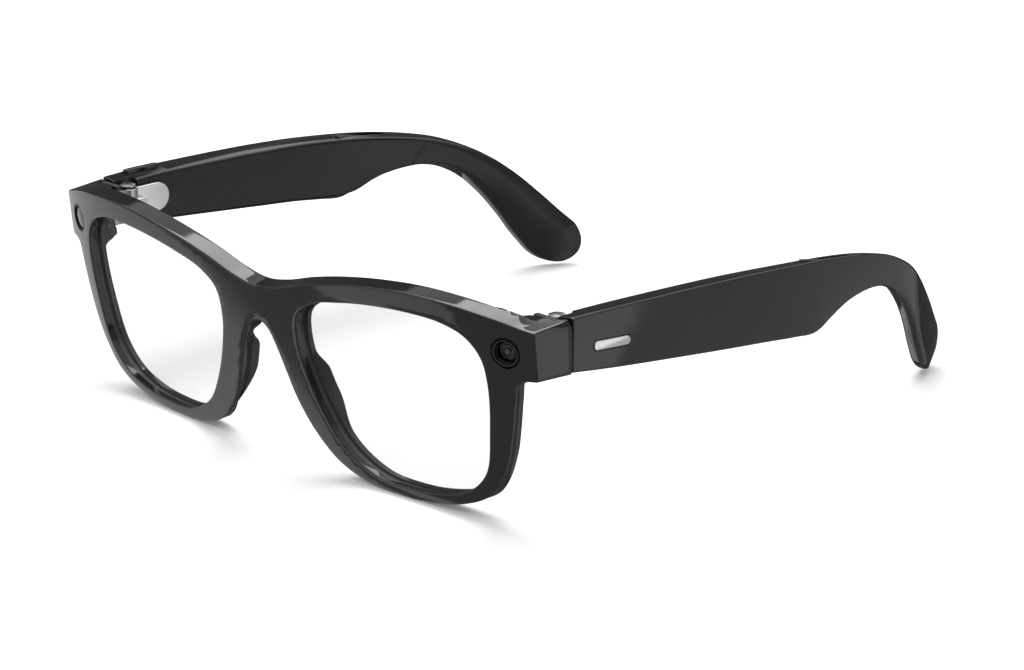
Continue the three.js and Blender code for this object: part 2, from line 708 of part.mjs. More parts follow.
// A block inside the temple that follows its curve: depths, then distances out from the cover's inside
// face, then heights above the temple's middle.
function innerBlock([from, to], [near, far], [low, high], steps = 4) {
  const sides = (s) => [-s.halfWidth + COVER_WALL + near, -s.halfWidth + COVER_WALL + far];
  return loft(templeRings(spaced(from, to, steps), sides, () => [low, high], 0.2));
}

function pill(length, width, [low, high]) {
  const half = (length - width) / 2;
  const shape = new THREE.Shape();
  shape.absarc(half, 0, width / 2, -Math.PI / 2, Math.PI / 2);
  shape.absarc(-half, 0, width / 2, Math.PI / 2, Math.PI * 1.5);
  return new THREE.ExtrudeGeometry(shape, { depth: high - low, bevelEnabled: false, curveSegments: 4 })
    .translate(0, 0, low);
}

// A pill lying along the temple on its top face at one depth.
function topPill(depth, across, length, width, [low, high]) {
  const s = stationAt(placeOf(depth));
  const along = Math.atan2(s.up.y, s.up.z);
  return pill(length, width, [low, high]).rotateZ(Math.PI / 2).rotateX(-along)
    .translate(s.middle.x + across, depth, s.middle.z)
    .translate(0, s.up.y * s.halfHeight, s.up.z * s.halfHeight);
}

const SPEAKER_SLOT = { depth: 91.4, across: 0.5, length: 15, width: 1.8 };
const BADGE = { depth: 28.8, lift: -1.1, length: 9.5, width: 1.9, sink: 0.4 };

function badgeShape(grow, [low, high]) {
  const s = stationAt(placeOf(BADGE.depth));
  const next = stationAt(placeOf(BADGE.depth + 4));
  const bow = Math.atan2(next.middle.x + next.halfWidth - s.middle.x - s.halfWidth, 4);
  return pill(BADGE.length + grow, BADGE.width + grow, [low, high]).rotateX(Math.PI / 2).rotateZ(Math.PI / 2)
    .rotateZ(-bow).translate(s.middle.x + s.halfWidth, BADGE.depth, s.middle.z + BADGE.lift);
}

// The space round the hinge plate, from inside the temple out to x.
function leafSpace(x) {
  return leafShape([60, x], 22, LEAF.radius + CLEARANCE);
}

function templeHousing(side) {
  const { depth, across, length, width } = SPEAKER_SLOT;
  const hingePocket = box([55, 68.7], [10, 24], [25, 46]);
  const leafRecess = join(leafSpace(LEAF.outer + CLEARANCE), box([60, 68], [22, 25.5], KNUCKLE_GAP));
  const tools = [
    hingePocket,
    templePocket(),
    leafRecess,
    topPill(depth, across, length, width, [-3, 3]),
    badgeShape(2 * CLEARANCE, [-BADGE.sink - CLEARANCE, 4]),
  ];
  if (side === RIGHT) tools.push(...buttonBore());
  return onSide(cut(templeBody(), ...tools), side);
}

function templeCover(side) {
  const tools = [leafSpace(70)];
  if (side === LEFT) tools.push(switchSlot());
  return onSide(cut(innerCover(), ...tools), side);
}

function speakerGrille() {
  const { depth, across, length, width } = SPEAKER_SLOT;
  return topPill(depth, across, length - 2 * CLEARANCE, width - 2 * CLEARANCE, [-1.4, -0.5]);
}

// ---------------------------------------------------------------- controls

const BUTTON = { depth: 28.65, across: 1.35, length: 9.4, width: 1.5, proud: 0.6 };
const BUTTON_FLANGE = { depth: 30.7, across: 0.35, length: 5, width: 2.6 };
const BUTTON_TRAVEL = 0.35;
const SWITCH = { depth: 43, length: 4, height: 2.4, travel: 2 };

function buttonBore() {
  const { depth, across, length, width } = BUTTON;
  return [topPill(depth, across, length + 2 * CLEARANCE, width + 2 * CLEARANCE, [-4, 3])];
}

function captureButton() {
  const { depth, across, length, width, proud } = BUTTON;
  const cap = topPill(depth, across, length, width, [-2.0, proud]);
  const foot = BUTTON_FLANGE;
  const flange = topPill(foot.depth, foot.across, foot.length, foot.width, [-2.6, -1.9]);
  return mirrored(join(cap, flange));
}

function tactSwitch() {
  const { depth, across } = BUTTON_FLANGE;
  return mirrored(topPill(depth, across, 4, 2.2, [-4.4, -2.6 - BUTTON_TRAVEL - CLEARANCE]));
}

function switchPlace() {
  const s = stationAt(placeOf(SWITCH.depth));
  return new THREE.Vector3(s.middle.x - s.halfWidth, SWITCH.depth, s.middle.z);
}

function switchSlot() {
  const { x, y, z } = switchPlace();
  const { length, height, travel } = SWITCH;
  const margin = CLEARANCE;
  return box([x - 3, x + 3], [y - length / 2 - margin, y + length / 2 + travel + margin],
    [z - height / 2 - margin, z + height / 2 + margin]);
}

function powerSwitch() {
  const { x, y, z } = switchPlace();
  const { length, height } = SWITCH;
  const cap = box([x - 0.6, x + 1.2], [y - length / 2, y + length / 2], [z - height / 2, z + height / 2]);
  const foot = box([x + 1.2, x + 1.7], [y - length / 2 - 0.6, y + length / 2 + 0.6],
    [z - height / 2 - 0.6, z + height / 2 + 0.6]);
  return join(cap, foot);
}

// ---------------------------------------------------------------- assembly

function piece(name, geometry, material) {
  const mesh = new THREE.Mesh(geometry, material);
  mesh.name = name;
  return mesh;
}

function frontPieces() {
  const pieces = [
    piece('front_frame', frontFrame(), glossBlack),
    piece('front_flex_cable', browStrip(0.4, CABLE_DEPTH), cableAmber),
    piece('nose_microphone', noseMicrophone(), satinBlack),
    cameraStack(),
    lightStack(),
  ];
  for (const [name, side] of [['left', LEFT], ['right', RIGHT]]) {
    pieces.push(
      piece(`${name}_lens`, onSide(lens(), side), clearLens),
      piece(`${name}_nose_pad`, onSide(nosePad(), side), padBlack),
      piece(`${name}_charge_contact`, onSide(contactPin(), side), gold),
      piece(`${name}_end_cover`, onSide(endCover(), side), satinBlack),
      piece(`${name}_hinge_front_leaf`, onSide(frontLeaf(), side), hingeSteel),
      piece(`${name}_hinge_screw`, onSide(hingeScrew(), side), hingeSteel),
    );
  }
  return pieces;
}

function templePieces(name, side) {
  return [
    piece(`${name}_temple_housing`, templeHousing(side), glossBlack),
    piece(`${name}_temple_cover`, templeCover(side), glossBlack),
    piece(`${name}_hinge_temple_leaf`, onSide(templeLeaf(), side), hingeSteel),
    piece(`${name}_speaker`, onSide(innerBlock([82, 97], [0.3, 2.3], [-4, 3.6]), side), satinBlack),
    piece(`${name}_speaker_grille`, onSide(speakerGrille(), side), meshGrey),
    piece(`${name}_badge`, onSide(badgeShape(0, [-BADGE.sink, 0.15]), side), badgeSteel),
  ];
}

function leftInside() {
  return [
    piece('left_battery', innerBlock([52, 78], [0.3, 2.9], [-4.6, 4.6]), cellSilver),
    piece('left_power_board', innerBlock([33, 49.5], [1.5, 2.5], [-3.7, 3.7]), boardGreen),
    piece('left_power_switch', powerSwitch(), satinBlack),
    piece('left_temple_microphone', innerBlock([29, 31.5], [1.8, 3], [-3.8, -2.6], 1), satinBlack),
  ];
}

function rightInside() {
  return [
    piece('right_main_board', mirrored(innerBlock([37, 78], [0.6, 1.4], [-4, 4])), boardGreen),
    piece('right_processor_shield', mirrored(innerBlock([44, 60], [1.7, 2.6], [-3.6, 3.6])), cellSilver),
    piece('right_touch_sensor', mirrored(innerBlock([38, 72], [2.95, 3.3], [-3.9, 3.9])), cableAmber),
    piece('right_capture_button', captureButton(), glossBlack),
    piece('right_tact_switch', tactSwitch(), satinBlack),
  ];
}

const glasses = new THREE.Group();
glasses.add(...frontPieces());
glasses.add(...templePieces('left', LEFT), ...leftInside());
glasses.add(...templePieces('right', RIGHT), ...rightInside());

// Stand it on its rims with the origin under the middle of its box.
const bounds = new THREE.Box3().setFromObject(glasses, true);
glasses.position.set(0, -(bounds.min.y + bounds.max.y) / 2, -bounds.min.z);

export default glasses;
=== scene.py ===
"""Smart glasses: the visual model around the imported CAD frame.

Shapes are worked out in millimetres from the bridge's front, +X to the wearer's left, +Y back to
the ear tips and +Z up, and are moved into the row frame in metres when a mesh is made.
"""

import json
import math

import bmesh
import bpy
import numpy as np
from mathutils import Matrix, Vector
from mathutils.geometry import delaunay_2d_cdt


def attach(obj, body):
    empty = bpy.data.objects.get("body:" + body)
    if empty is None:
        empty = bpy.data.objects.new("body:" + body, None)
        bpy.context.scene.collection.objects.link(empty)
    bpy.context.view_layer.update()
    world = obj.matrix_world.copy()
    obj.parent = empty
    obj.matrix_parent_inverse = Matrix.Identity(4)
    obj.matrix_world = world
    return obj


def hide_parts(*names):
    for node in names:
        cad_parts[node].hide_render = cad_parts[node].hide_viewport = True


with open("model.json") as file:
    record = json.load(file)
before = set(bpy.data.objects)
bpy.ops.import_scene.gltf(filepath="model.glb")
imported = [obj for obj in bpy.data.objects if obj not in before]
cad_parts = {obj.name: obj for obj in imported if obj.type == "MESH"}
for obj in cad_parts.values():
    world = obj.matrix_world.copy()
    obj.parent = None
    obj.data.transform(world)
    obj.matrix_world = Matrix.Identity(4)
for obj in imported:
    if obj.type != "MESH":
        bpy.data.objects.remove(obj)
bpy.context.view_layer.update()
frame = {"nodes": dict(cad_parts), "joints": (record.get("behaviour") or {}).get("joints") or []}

LEFT, RIGHT = 1, -1
SIDES = (("left", LEFT), ("right", RIGHT))

# ------------------------------------------------------------------ driving sizes, in mm

HINGE = np.array([66.3, 20.8, 37.0])  # the left hinge joint's place in these coordinates
JOINTS = {joint["name"]: joint for joint in frame["joints"]}
SHIFT = np.array(JOINTS["left_temple_hinge"]["pos_m"]) * 1000 - HINGE

HALF_WIDTH = 72.1
BROW_HEIGHT = 44.8
FOOT = -0.6  # the lowest point of the rims
WRAP_SOFT, WRAP_SHARP = 2.0, 6.7  # how far the ends curve back, evenly and near the ends
LEAN = 0.16  # the face leans back from the brow to the foot
BULGE = 1.0  # and swells forwards in the middle of its height
LOW_RIM_DEPTH = 4.6
BROW_LOSS, END_GAIN, NOSE_GAIN = 0.3, 4.9, 2.0  # changes of the rim's depth in three places
TOP_RISE, TOP_BAND, END_TOP = 0.9, 3.0, 42.2  # the top edge climbs backwards, level at the ends
END_LENGTH = 9.0  # depth of an end piece behind the face
SIDE_TAPER = 1.1  # the cheeks draw in towards the back
END_FLARE = 0.5  # the end pieces widen backwards to meet the temples
NOSE_FLARE = 2.2  # the nose opening widens towards the back
SPLIT = 18.6  # where the front ends and the temples begin
SPLIT_GAP, SEAM = 0.3, 0.18
FRONT_ROUND = 0.35
BACK_ROUND, END_BACK_ROUND = 0.6, 0.1
OPENING_ROUND = 0.3
STEP = 0.4  # spacing of points along an outline
FIT = 0.25  # room left round a piece that sits in a recess

LENS_FRONT, LENS_BACK = 1.7, 3.1  # depths behind the face
LENS_OVERLAP = 0.62  # how far the lens runs into its groove
LENS_CENTRE = np.array([37.0, 22.0])
GROOVE_DEPTH, GROOVE_LIP, GROOVE_ROOM = 0.75, 0.1, 0.06

EYE = np.array([66.1, 36.6])  # middle of the camera and of the capture light
CAMERA_RING = 3.0
LIGHT_RING = 2.9

# ------------------------------------------------------------------ small numeric helpers


def smoothstep(value, low, high):
    t = np.clip((np.asarray(value, float) - low) / (high - low), 0, 1)
    return t * t * (3 - 2 * t)


def curve_point(points, t, closed=False):
    """One point of the centripetal Catmull-Rom curve through points, t from 0 to 1."""
    count = len(points)
    place = (count if closed else count - 1) * t
    i = int(math.floor(place))
    if not closed:
        i = min(i, count - 2)
    w = place - i
    p1, p2 = points[i % count], points[(i + 1) % count]
    p0 = points[(i - 1) % count] if closed or i > 0 else 2 * p1 - p2
    p3 = points[(i + 2) % count] if closed or i + 2 < count else 2 * p2 - p1
    d0, d1, d2 = (math.sqrt(np.linalg.norm(b - a)) for a, b in ((p0, p1), (p1, p2), (p2, p3)))
    m1 = ((p1 - p0) / d0 - (p2 - p0) / (d0 + d1) + (p2 - p1) / d1) * d1
    m2 = ((p2 - p1) / d1 - (p3 - p1) / (d1 + d2) + (p3 - p2) / d2) * d1
    bend = -3 * p1 + 3 * p2 - 2 * m1 - m2
    return p1 + m1 * w + bend * w**2 + (2 * p1 - 2 * p2 + m1 + m2) * w**3


def smooth_curve(points, closed=False, per_span=16):
    points = np.array(points, float)
    spans = len(points) if closed else len(points) - 1
    count = spans * per_span + (0 if closed else 1)
    scale = spans * per_span
    return np.array([curve_point(points, i / scale, closed) for i in range(count)])


def read_curve(pairs, at):
    """Value at one place of the smooth curve through (place, value) pairs."""
    places = [place for place, _ in pairs]
    i = int(np.clip(np.searchsorted(places, at, side="right") - 1, 0, len(pairs) - 2))

    def slope(k):
        before, after = pairs[max(k - 1, 0)], pairs[min(k + 1, len(pairs) - 1)]
        return (after[1] - before[1]) / (after[0] - before[0])

    span = pairs[i + 1][0] - pairs[i][0]
    f = (at - pairs[i][0]) / span
    rise = f * f * (3 - 2 * f)
    bend = span * (slope(i) * f * (1 - f) ** 2 - slope(i + 1) * f * f * (1 - f))
    return pairs[i][1] * (1 - rise) + pairs[i + 1][1] * rise + bend


def resampled(loop, step):
    """A closed outline with evenly spaced points."""
    ends = np.vstack([loop, loop[:1]])
    lengths = np.concatenate([[0], np.cumsum(np.linalg.norm(np.diff(ends, axis=0), axis=1))])
    places = np.linspace(0, lengths[-1], int(round(lengths[-1] / step)), endpoint=False)
    return np.stack([np.interp(places, lengths, ends[:, k]) for k in range(2)], axis=1)


def relaxed(loop, passes):
    for _ in range(passes):
        loop = loop / 2 + (np.roll(loop, 1, axis=0) + np.roll(loop, -1, axis=0)) / 4
    return loop


def turning_left(loop):
    x, z = loop[:, 0], loop[:, 1]
    area = np.sum(x * np.roll(z, -1) - z * np.roll(x, -1))
    return loop if area > 0 else loop[::-1]


def side_normals(loop):
    """The unit normals on the right-hand side of a closed outline's direction."""
    along = np.roll(loop, -1, axis=0) - np.roll(loop, 1, axis=0)
    along /= np.linalg.norm(along, axis=1)[:, None]
    return np.stack([along[:, 1], -along[:, 0]], axis=1)


def mirrored(points):
    """The same outline on the other side, in reverse order."""
    return (np.array(points, float) * [-1, 1])[::-1]


def nearest_distance(points, line):
    """Distance from each point to the closest point of a dense line."""
    result = np.full(len(points), np.inf)
    for start in range(0, len(line), 200):
        part = line[start:start + 200]
        gaps = np.linalg.norm(points[:, None] - part[None], axis=2)
        result = np.minimum(result, gaps.min(axis=1))
    return result


def inside(points, loop):
    result = np.zeros(len(points), bool)
    x, z = points[:, 0], points[:, 1]
    for (x0, z0), (x1, z1) in zip(loop, np.roll(loop, -1, axis=0)):
        if z0 == z1:
            continue
        crosses = (z0 > z) != (z1 > z)
        result ^= crosses & (x < x0 + (z - z0) * (x1 - x0) / (z1 - z0))
    return result


# ------------------------------------------------------------------ meshes


def link(name, mesh, material=None):
    piece = bpy.data.objects.new(name, mesh)
    bpy.context.scene.collection.objects.link(piece)
    if material:
        mesh.materials.append(material)
    return piece


def mesh_object(name, points, faces, material=None):
    """An object from points in mm, closed and facing out."""
    mesh = bpy.data.meshes.new(name)
    mesh.from_pydata(((np.asarray(points) + SHIFT) / 1000).tolist(), [], faces)
    tidy(mesh)
    return link(name, mesh, material)


def tidy(mesh, sharp_angle=math.radians(32)):
    """Merges doubles, turns faces out and marks sharp edges, the rest being smooth."""
    work = bmesh.new()
    work.from_mesh(mesh)
    bmesh.ops.remove_doubles(work, verts=work.verts, dist=2e-7)
    bmesh.ops.dissolve_degenerate(work, edges=work.edges, dist=1e-7)
    bmesh.ops.recalc_face_normals(work, faces=work.faces)
    for face in work.faces:
        face.smooth = True
    for edge in work.edges:
        edge.smooth = len(edge.link_faces) == 2 and edge.calc_face_angle(0) < sharp_angle
    work.to_mesh(mesh)
    work.free()


def settled(piece):
    """Applies a piece's modifiers to its mesh."""
    graph = bpy.context.evaluated_depsgraph_get()
    mesh = bpy.data.meshes.new_from_object(piece.evaluated_get(graph))
    piece.modifiers.clear()
    piece.data = mesh
    tidy(mesh)
    return piece


def carved(piece, operation, *tools):
    """Cuts or joins other objects into a piece and removes them."""
    for tool in tools:
        step = piece.modifiers.new("carve", "BOOLEAN")
        step.operation = operation
        step.solver = "EXACT"
        step.object = tool
    settled(piece)
    for tool in tools:
        bpy.data.objects.remove(tool)
    return piece


def bevelled(piece, width, segments=3, angle=math.radians(30)):
    bevel = piece.modifiers.new("round", "BEVEL")
    bevel.width = width / 1000
    bevel.segments = segments
    bevel.limit_method = "ANGLE"
    bevel.angle_limit = angle
    return settled(piece)


def ring_faces(count, rings, closed_ends=True, start=0):
    """Quads between rings of count points each, with a fan-free cap at both ends."""
    faces = []
    for ring in range(rings - 1):
        for i in range(count):
            a = start + ring * count + i
            b = start + ring * count + (i + 1) % count
            faces.append((a, b, b + count, a + count))
    if closed_ends:
        last = start + (rings - 1) * count
        faces.append(tuple(range(start, start + count)))
        faces.append(tuple(range(last, last + count)))
    return faces


def lofted(name, rings, material=None):
    rings = np.array(rings)
    return mesh_object(name, rings.reshape(-1, 3), ring_faces(rings.shape[1], len(rings)), material)


def turned(name, profile, place, material=None, segments=72):
    """A solid turned from (radius, depth) pairs about a place's axis: its origin and a unit axis."""
    origin, axis = (np.array(v, float) for v in place)
    across = np.cross(axis, [0, 0, 1]) if abs(axis[2]) < 0.9 else np.cross(axis, [1, 0, 0])
    across /= np.linalg.norm(across)
    other = np.cross(axis, across)
    points, faces = [], []
    for radius, depth in profile:
        for i in range(segments):
            angle = 2 * math.pi * i / segments
            around = across * math.cos(angle) + other * math.sin(angle)
            points.append(origin + axis * depth + around * max(radius, 1e-4))
    closed = profile[0] == profile[-1]
    if closed:
        points = points[:-segments]
    rings = len(profile) - (1 if closed else 0)
    faces = ring_faces(segments, rings, closed_ends=not closed)
    if closed:
        last = (rings - 1) * segments
        faces += [(last + i, last + (i + 1) % segments, (i + 1) % segments, i) for i in range(segments)]
    return mesh_object(name, points, faces, material)


def block(name, low, high, material=None, round_by=0.0):
    """A box between two corners in mm, with rounded edges."""
    low, high = np.array(low, float), np.array(high, float)
    rings = []
    for y in (low[1], high[1]):
        corners = ((low[0], low[2]), (high[0], low[2]), (high[0], high[2]), (low[0], high[2]))
        rings.append([(x, y, z) for x, z in corners])
    piece = lofted(name, rings, material)
    return bevelled(piece, round_by) if round_by else piece


def on_side(piece, side):
    """Mirrors a piece made for the left side onto the right one."""
    if side == RIGHT:
        piece.data.transform(Matrix.Scale(-1, 4, (1, 0, 0)))
        tidy(piece.data)
    return piece


def finished(piece, body, slot, *stands_for):
    """Gives a piece its body and hides the CAD nodes that it stands for. The slot is not used."""
    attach(piece, body)
    if stands_for:
        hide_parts(*stands_for)
    return piece


# ------------------------------------------------------------------ materials


def new_material(name):
    material = bpy.data.materials.new(name)
    material.use_nodes = True
    nodes, links = material.node_tree.nodes, material.node_tree.links
    return material, nodes, links, nodes["Principled BSDF"]


def noise(nodes, links, scale, detail=4.0, stretch=(1, 1, 1)):
    """Noise in object space, so that it stays with the piece."""
    place = nodes.new("ShaderNodeTexCoord")
    mapping = nodes.new("ShaderNodeMapping")
    mapping.inputs["Scale"].default_value = stretch
    texture = nodes.new("ShaderNodeTexNoise")
    texture.inputs["Scale"].default_value = scale
    texture.inputs["Detail"].default_value = detail
    links.new(place.outputs["Object"], mapping.inputs["Vector"])
    links.new(mapping.outputs["Vector"], texture.inputs["Vector"])
    return texture.outputs["Fac"]


def ranged(nodes, links, source, low, high):
    spread = nodes.new("ShaderNodeMapRange")
    spread.inputs["From Min"].default_value = 0.3
    spread.inputs["From Max"].default_value = 0.7
    spread.inputs["To Min"].default_value = low
    spread.inputs["To Max"].default_value = high
    links.new(source, spread.inputs["Value"])
    return spread.outputs["Result"]


def tinted(nodes, links, source, low, high):
    ramp = nodes.new("ShaderNodeValToRGB")
    ramp.color_ramp.elements[0].position = 0.3
    ramp.color_ramp.elements[1].position = 0.7
    ramp.color_ramp.elements[0].color = (*low, 1)
    ramp.color_ramp.elements[1].color = (*high, 1)
    links.new(source, ramp.inputs["Fac"])
    return ramp.outputs["Color"]


def bumped(nodes, links, source, shader, strength, distance):
    bump = nodes.new("ShaderNodeBump")
    bump.inputs["Strength"].default_value = strength
    bump.inputs["Distance"].default_value = distance
    links.new(source, bump.inputs["Height"])
    links.new(bump.outputs["Normal"], shader.inputs["Normal"])


def moulded_plastic(name, dark, light, rough, grain, grain_depth, specular=0.5):
    """Plastic with a slow colour drift, uneven polish and a fine moulded grain."""
    material, nodes, links, shader = new_material(name)
    links.new(tinted(nodes, links, noise(nodes, links, 60), dark, light), shader.inputs["Base Color"])
    links.new(ranged(nodes, links, noise(nodes, links, 350), *rough), shader.inputs["Roughness"])
    bumped(nodes, links, noise(nodes, links, grain, 2), shader, 0.15, grain_depth)
    shader.inputs["Specular IOR Level"].default_value = specular
    return material


def brushed_metal(name, dark, light, rough, stretch, scale=900):
    material, nodes, links, shader = new_material(name)
    shader.inputs["Metallic"].default_value = 1.0
    streaks = noise(nodes, links, scale, 3, stretch)
    links.new(tinted(nodes, links, streaks, dark, light), shader.inputs["Base Color"])
    links.new(ranged(nodes, links, streaks, *rough), shader.inputs["Roughness"])
    bumped(nodes, links, streaks, shader, 0.2, 0.00002)
    return material


def clear_lens_material():
    """Clear lens: a faintly grey body under an even, soft reflection."""
    material, nodes, links, shader = new_material("clear_lens")
    nodes.remove(shader)
    tint = noise(nodes, links, 15)
    body = nodes.new("ShaderNodeBsdfTransparent")
    colour = tinted(nodes, links, tint, (0.95, 0.95, 0.953), (0.96, 0.96, 0.962))
    links.new(colour, body.inputs["Color"])
    shine = nodes.new("ShaderNodeBsdfGlossy")
    links.new(ranged(nodes, links, tint, 0.56, 0.6), shine.inputs["Roughness"])
    coated = nodes.new("ShaderNodeMixShader")
    coated.inputs["Fac"].default_value = 0.09
    links.new(body.outputs["BSDF"], coated.inputs[1])
    links.new(shine.outputs["BSDF"], coated.inputs[2])
    path = nodes.new("ShaderNodeLightPath")
    clear = nodes.new("ShaderNodeBsdfTransparent")
    mix = nodes.new("ShaderNodeMixShader")
    links.new(path.outputs["Is Shadow Ray"], mix.inputs["Fac"])
    links.new(coated.outputs["Shader"], mix.inputs[1])
    links.new(clear.outputs["BSDF"], mix.inputs[2])
    links.new(mix.outputs["Shader"], nodes["Material Output"].inputs["Surface"])
    return material


def dark_glass_material():
    material, nodes, links, shader = new_material("dark_glass")
    tint = noise(nodes, links, 200)
    colour = tinted(nodes, links, tint, (0.30, 0.30, 0.34), (0.36, 0.36, 0.40))
    links.new(colour, shader.inputs["Base Color"])
    links.new(ranged(nodes, links, tint, 0.01, 0.04), shader.inputs["Roughness"])
    shader.inputs["Transmission Weight"].default_value = 1.0
    shader.inputs["IOR"].default_value = 1.45
    return material


def mesh_cloth_metal():
    """A woven speaker mesh: two crossed waves raise the wires."""
    material, nodes, links, shader = new_material("speaker_mesh")
    shader.inputs["Metallic"].default_value = 0.9
    place = nodes.new("ShaderNodeTexCoord")
    waves = []
    for direction in ("X", "Y"):
        wave = nodes.new("ShaderNodeTexWave")
        wave.bands_direction = direction
        wave.inputs["Scale"].default_value = 1400
        wave.inputs["Distortion"].default_value = 0.2
        links.new(place.outputs["Object"], wave.inputs["Vector"])
        waves.append(wave.outputs["Fac"])
    weave = nodes.new("ShaderNodeMath")
    weave.operation = "MAXIMUM"
    for wave, socket in zip(waves, weave.inputs):
        links.new(wave, socket)
    height = weave.outputs["Value"]
    colour = tinted(nodes, links, height, (0.006, 0.006, 0.007), (0.10, 0.10, 0.11))
    links.new(colour, shader.inputs["Base Color"])
    links.new(ranged(nodes, links, height, 0.55, 0.3), shader.inputs["Roughness"])
    bumped(nodes, links, height, shader, 0.6, 0.00008)
    return material


def circuit_board(name, mask_dark, mask_light):
    """Solder mask over faint tracks."""
    material, nodes, links, shader = new_material(name)
    tracks = nodes.new("ShaderNodeTexBrick")
    tracks.inputs["Scale"].default_value = 450
    tracks.inputs["Color1"].default_value = (*mask_dark, 1)
    tracks.inputs["Color2"].default_value = (*mask_light, 1)
    tracks.inputs["Mortar"].default_value = (*[v * 1.8 for v in mask_light], 1)
    place = nodes.new("ShaderNodeTexCoord")
    links.new(place.outputs["Object"], tracks.inputs["Vector"])
    links.new(tracks.outputs["Color"], shader.inputs["Base Color"])
    links.new(ranged(nodes, links, noise(nodes, links, 300), 0.35, 0.55), shader.inputs["Roughness"])
    return material


MATERIALS = {
    "frame_gloss_black": moulded_plastic(
        "gloss_black", (0.010, 0.010, 0.0105), (0.013, 0.013, 0.014), (0.045, 0.075), 1500, 0.000002),
    "deep_black": moulded_plastic(
        "deep_black", (0.0015, 0.0015, 0.0016), (0.0025, 0.0025, 0.0026), (0.12, 0.2), 1500, 0.000002, 0.12),
    "inner_black": moulded_plastic(
        "inner_satin_black", (0.0085, 0.0085, 0.009), (0.0115, 0.0115, 0.012), (0.27, 0.31), 2500,
        0.000002, 0.3),
    "satin_black": moulded_plastic(
        "satin_black", (0.012, 0.012, 0.013), (0.018, 0.018, 0.019), (0.35, 0.5), 4000, 0.00002),
    "nose_pad_black": moulded_plastic(
        "nose_pad_black", (0.020, 0.020, 0.021), (0.026, 0.026, 0.027), (0.42, 0.55), 5000, 0.00002, 0.4),
    "light_diffuser": moulded_plastic(
        "light_diffuser", (0.045, 0.045, 0.047), (0.060, 0.060, 0.062), (0.12, 0.2), 2500, 0.00001),
    "flex_cable": moulded_plastic(
        "flex_cable", (0.30, 0.14, 0.03), (0.42, 0.22, 0.06), (0.4, 0.5), 900, 0.00002),
    "hinge_steel": brushed_metal(
        "hinge_steel", (0.34, 0.34, 0.35), (0.46, 0.46, 0.47), (0.2, 0.3), (1, 6, 1)),
    "plate_steel": brushed_metal(
        "plate_steel", (0.70, 0.70, 0.71), (0.80, 0.80, 0.81), (0.34, 0.44), (1, 1, 8)),
    "badge_steel": brushed_metal(
        "badge_steel", (0.58, 0.59, 0.61), (0.74, 0.75, 0.77), (0.12, 0.22), (1, 8, 1)),
    "contact_gold": brushed_metal(
        "contact_gold", (0.72, 0.52, 0.20), (0.86, 0.66, 0.30), (0.15, 0.25), (1, 1, 1)),
    "cell": brushed_metal(
        "cell_foil", (0.50, 0.51, 0.53), (0.66, 0.67, 0.69), (0.25, 0.4), (1, 3, 1)),
    "clear_lens": clear_lens_material(),
    "dark_glass": dark_glass_material(),
    "speaker_mesh": mesh_cloth_metal(),
    "board": circuit_board("board", (0.02, 0.09, 0.05), (0.03, 0.12, 0.07)),
}

# ------------------------------------------------------------------ the face of the front


def face_setback(x, z):
    """How far behind the origin plane the face lies."""
    reach = np.abs(x) / HALF_WIDTH
    middle = 1 - ((z - BROW_HEIGHT / 2) / (BROW_HEIGHT / 2)) ** 2
    return WRAP_SOFT * reach**2 + WRAP_SHARP * reach**4 + LEAN * (BROW_HEIGHT - z) - BULGE * middle


def rim_depth(x, z):
    """How deep the front is behind its face: the end pieces reach back to the temples."""
    end = smoothstep(np.abs(x), 61.5, 65) * smoothstep(z, 29.8, 31.3)
    return LOW_RIM_DEPTH - BROW_LOSS * smoothstep(z, 6, 38) + END_GAIN * end


def face_normal(x, z, step=0.05):
    """The front face's outward unit normal."""
    dx = (face_setback(x + step, z) - face_setback(x - step, z)) / (2 * step)
    dz = (face_setback(x, z + step) - face_setback(x, z - step)) / (2 * step)
    normal = np.array([dx, -1, dz])
    return normal / np.linalg.norm(normal)


BROW = [(0, 37.1), (6.5, 38.1), (14.5, 40.4), (23, 42.3), (33, 43.9), (44, BROW_HEIGHT), (54, 44.5),
        (63.5, 43.2), (HALF_WIDTH, 41.3)]
END_UNDERSIDE = (HALF_WIDTH, 31.4)
CHEEK = [(69, 31.2), (67.9, 30.3), (67.1, 26.5), (65.7, 19.5), (64.1, 13.6), (61.4, 8.4), (57.5, 4.2),
         (51.5, 1.5), (45, 0.1), (38.5, FOOT)]
NOSE = [(31, FOOT), (24.5, 0.3), (18, 3), (12.8, 8), (8.9, 14.3), (6.6, 20.3), (4.8, 24.8), (2.8, 28.3)]
NOSE_TOP = (0, 29.7)
LENS_OPENING = [(45, 40.8), (52.5, 40.2), (57.6, 38.2), (60.6, 34.6), (61.6, 29), (60.9, 19.6), (58.6, 9.9),
                (53.5, 4.9), (46, 2.6), (37.5, 1.8), (29, 2.4), (21.5, 6.4), (16.4, 13.6), (13.1, 21.5),
                (11.8, 28), (12.8, 33.6), (17.5, 36.9), (26, 39), (35, 40.3)]


def both_halves(half):
    """A run of points that starts on the middle line, preceded by its mirror image."""
    return [(-x, z) for x, z in reversed(half[1:])] + list(half)


def nose_arch():
    return smooth_curve(both_halves([NOSE_TOP, *reversed(NOSE)]))


def front_outline():
    cheek = np.vstack([[END_UNDERSIDE], smooth_curve(CHEEK)])
    runs = [smooth_curve(both_halves(BROW)), cheek, nose_arch()[::-1], mirrored(cheek)]
    return turning_left(relaxed(resampled(np.vstack(runs), STEP), 1))


def lens_outline(step=STEP):
    return turning_left(resampled(smooth_curve(LENS_OPENING, closed=True), step))


NOSE_ARCH = nose_arch()
BROW_LINE = smooth_curve(both_halves(BROW))


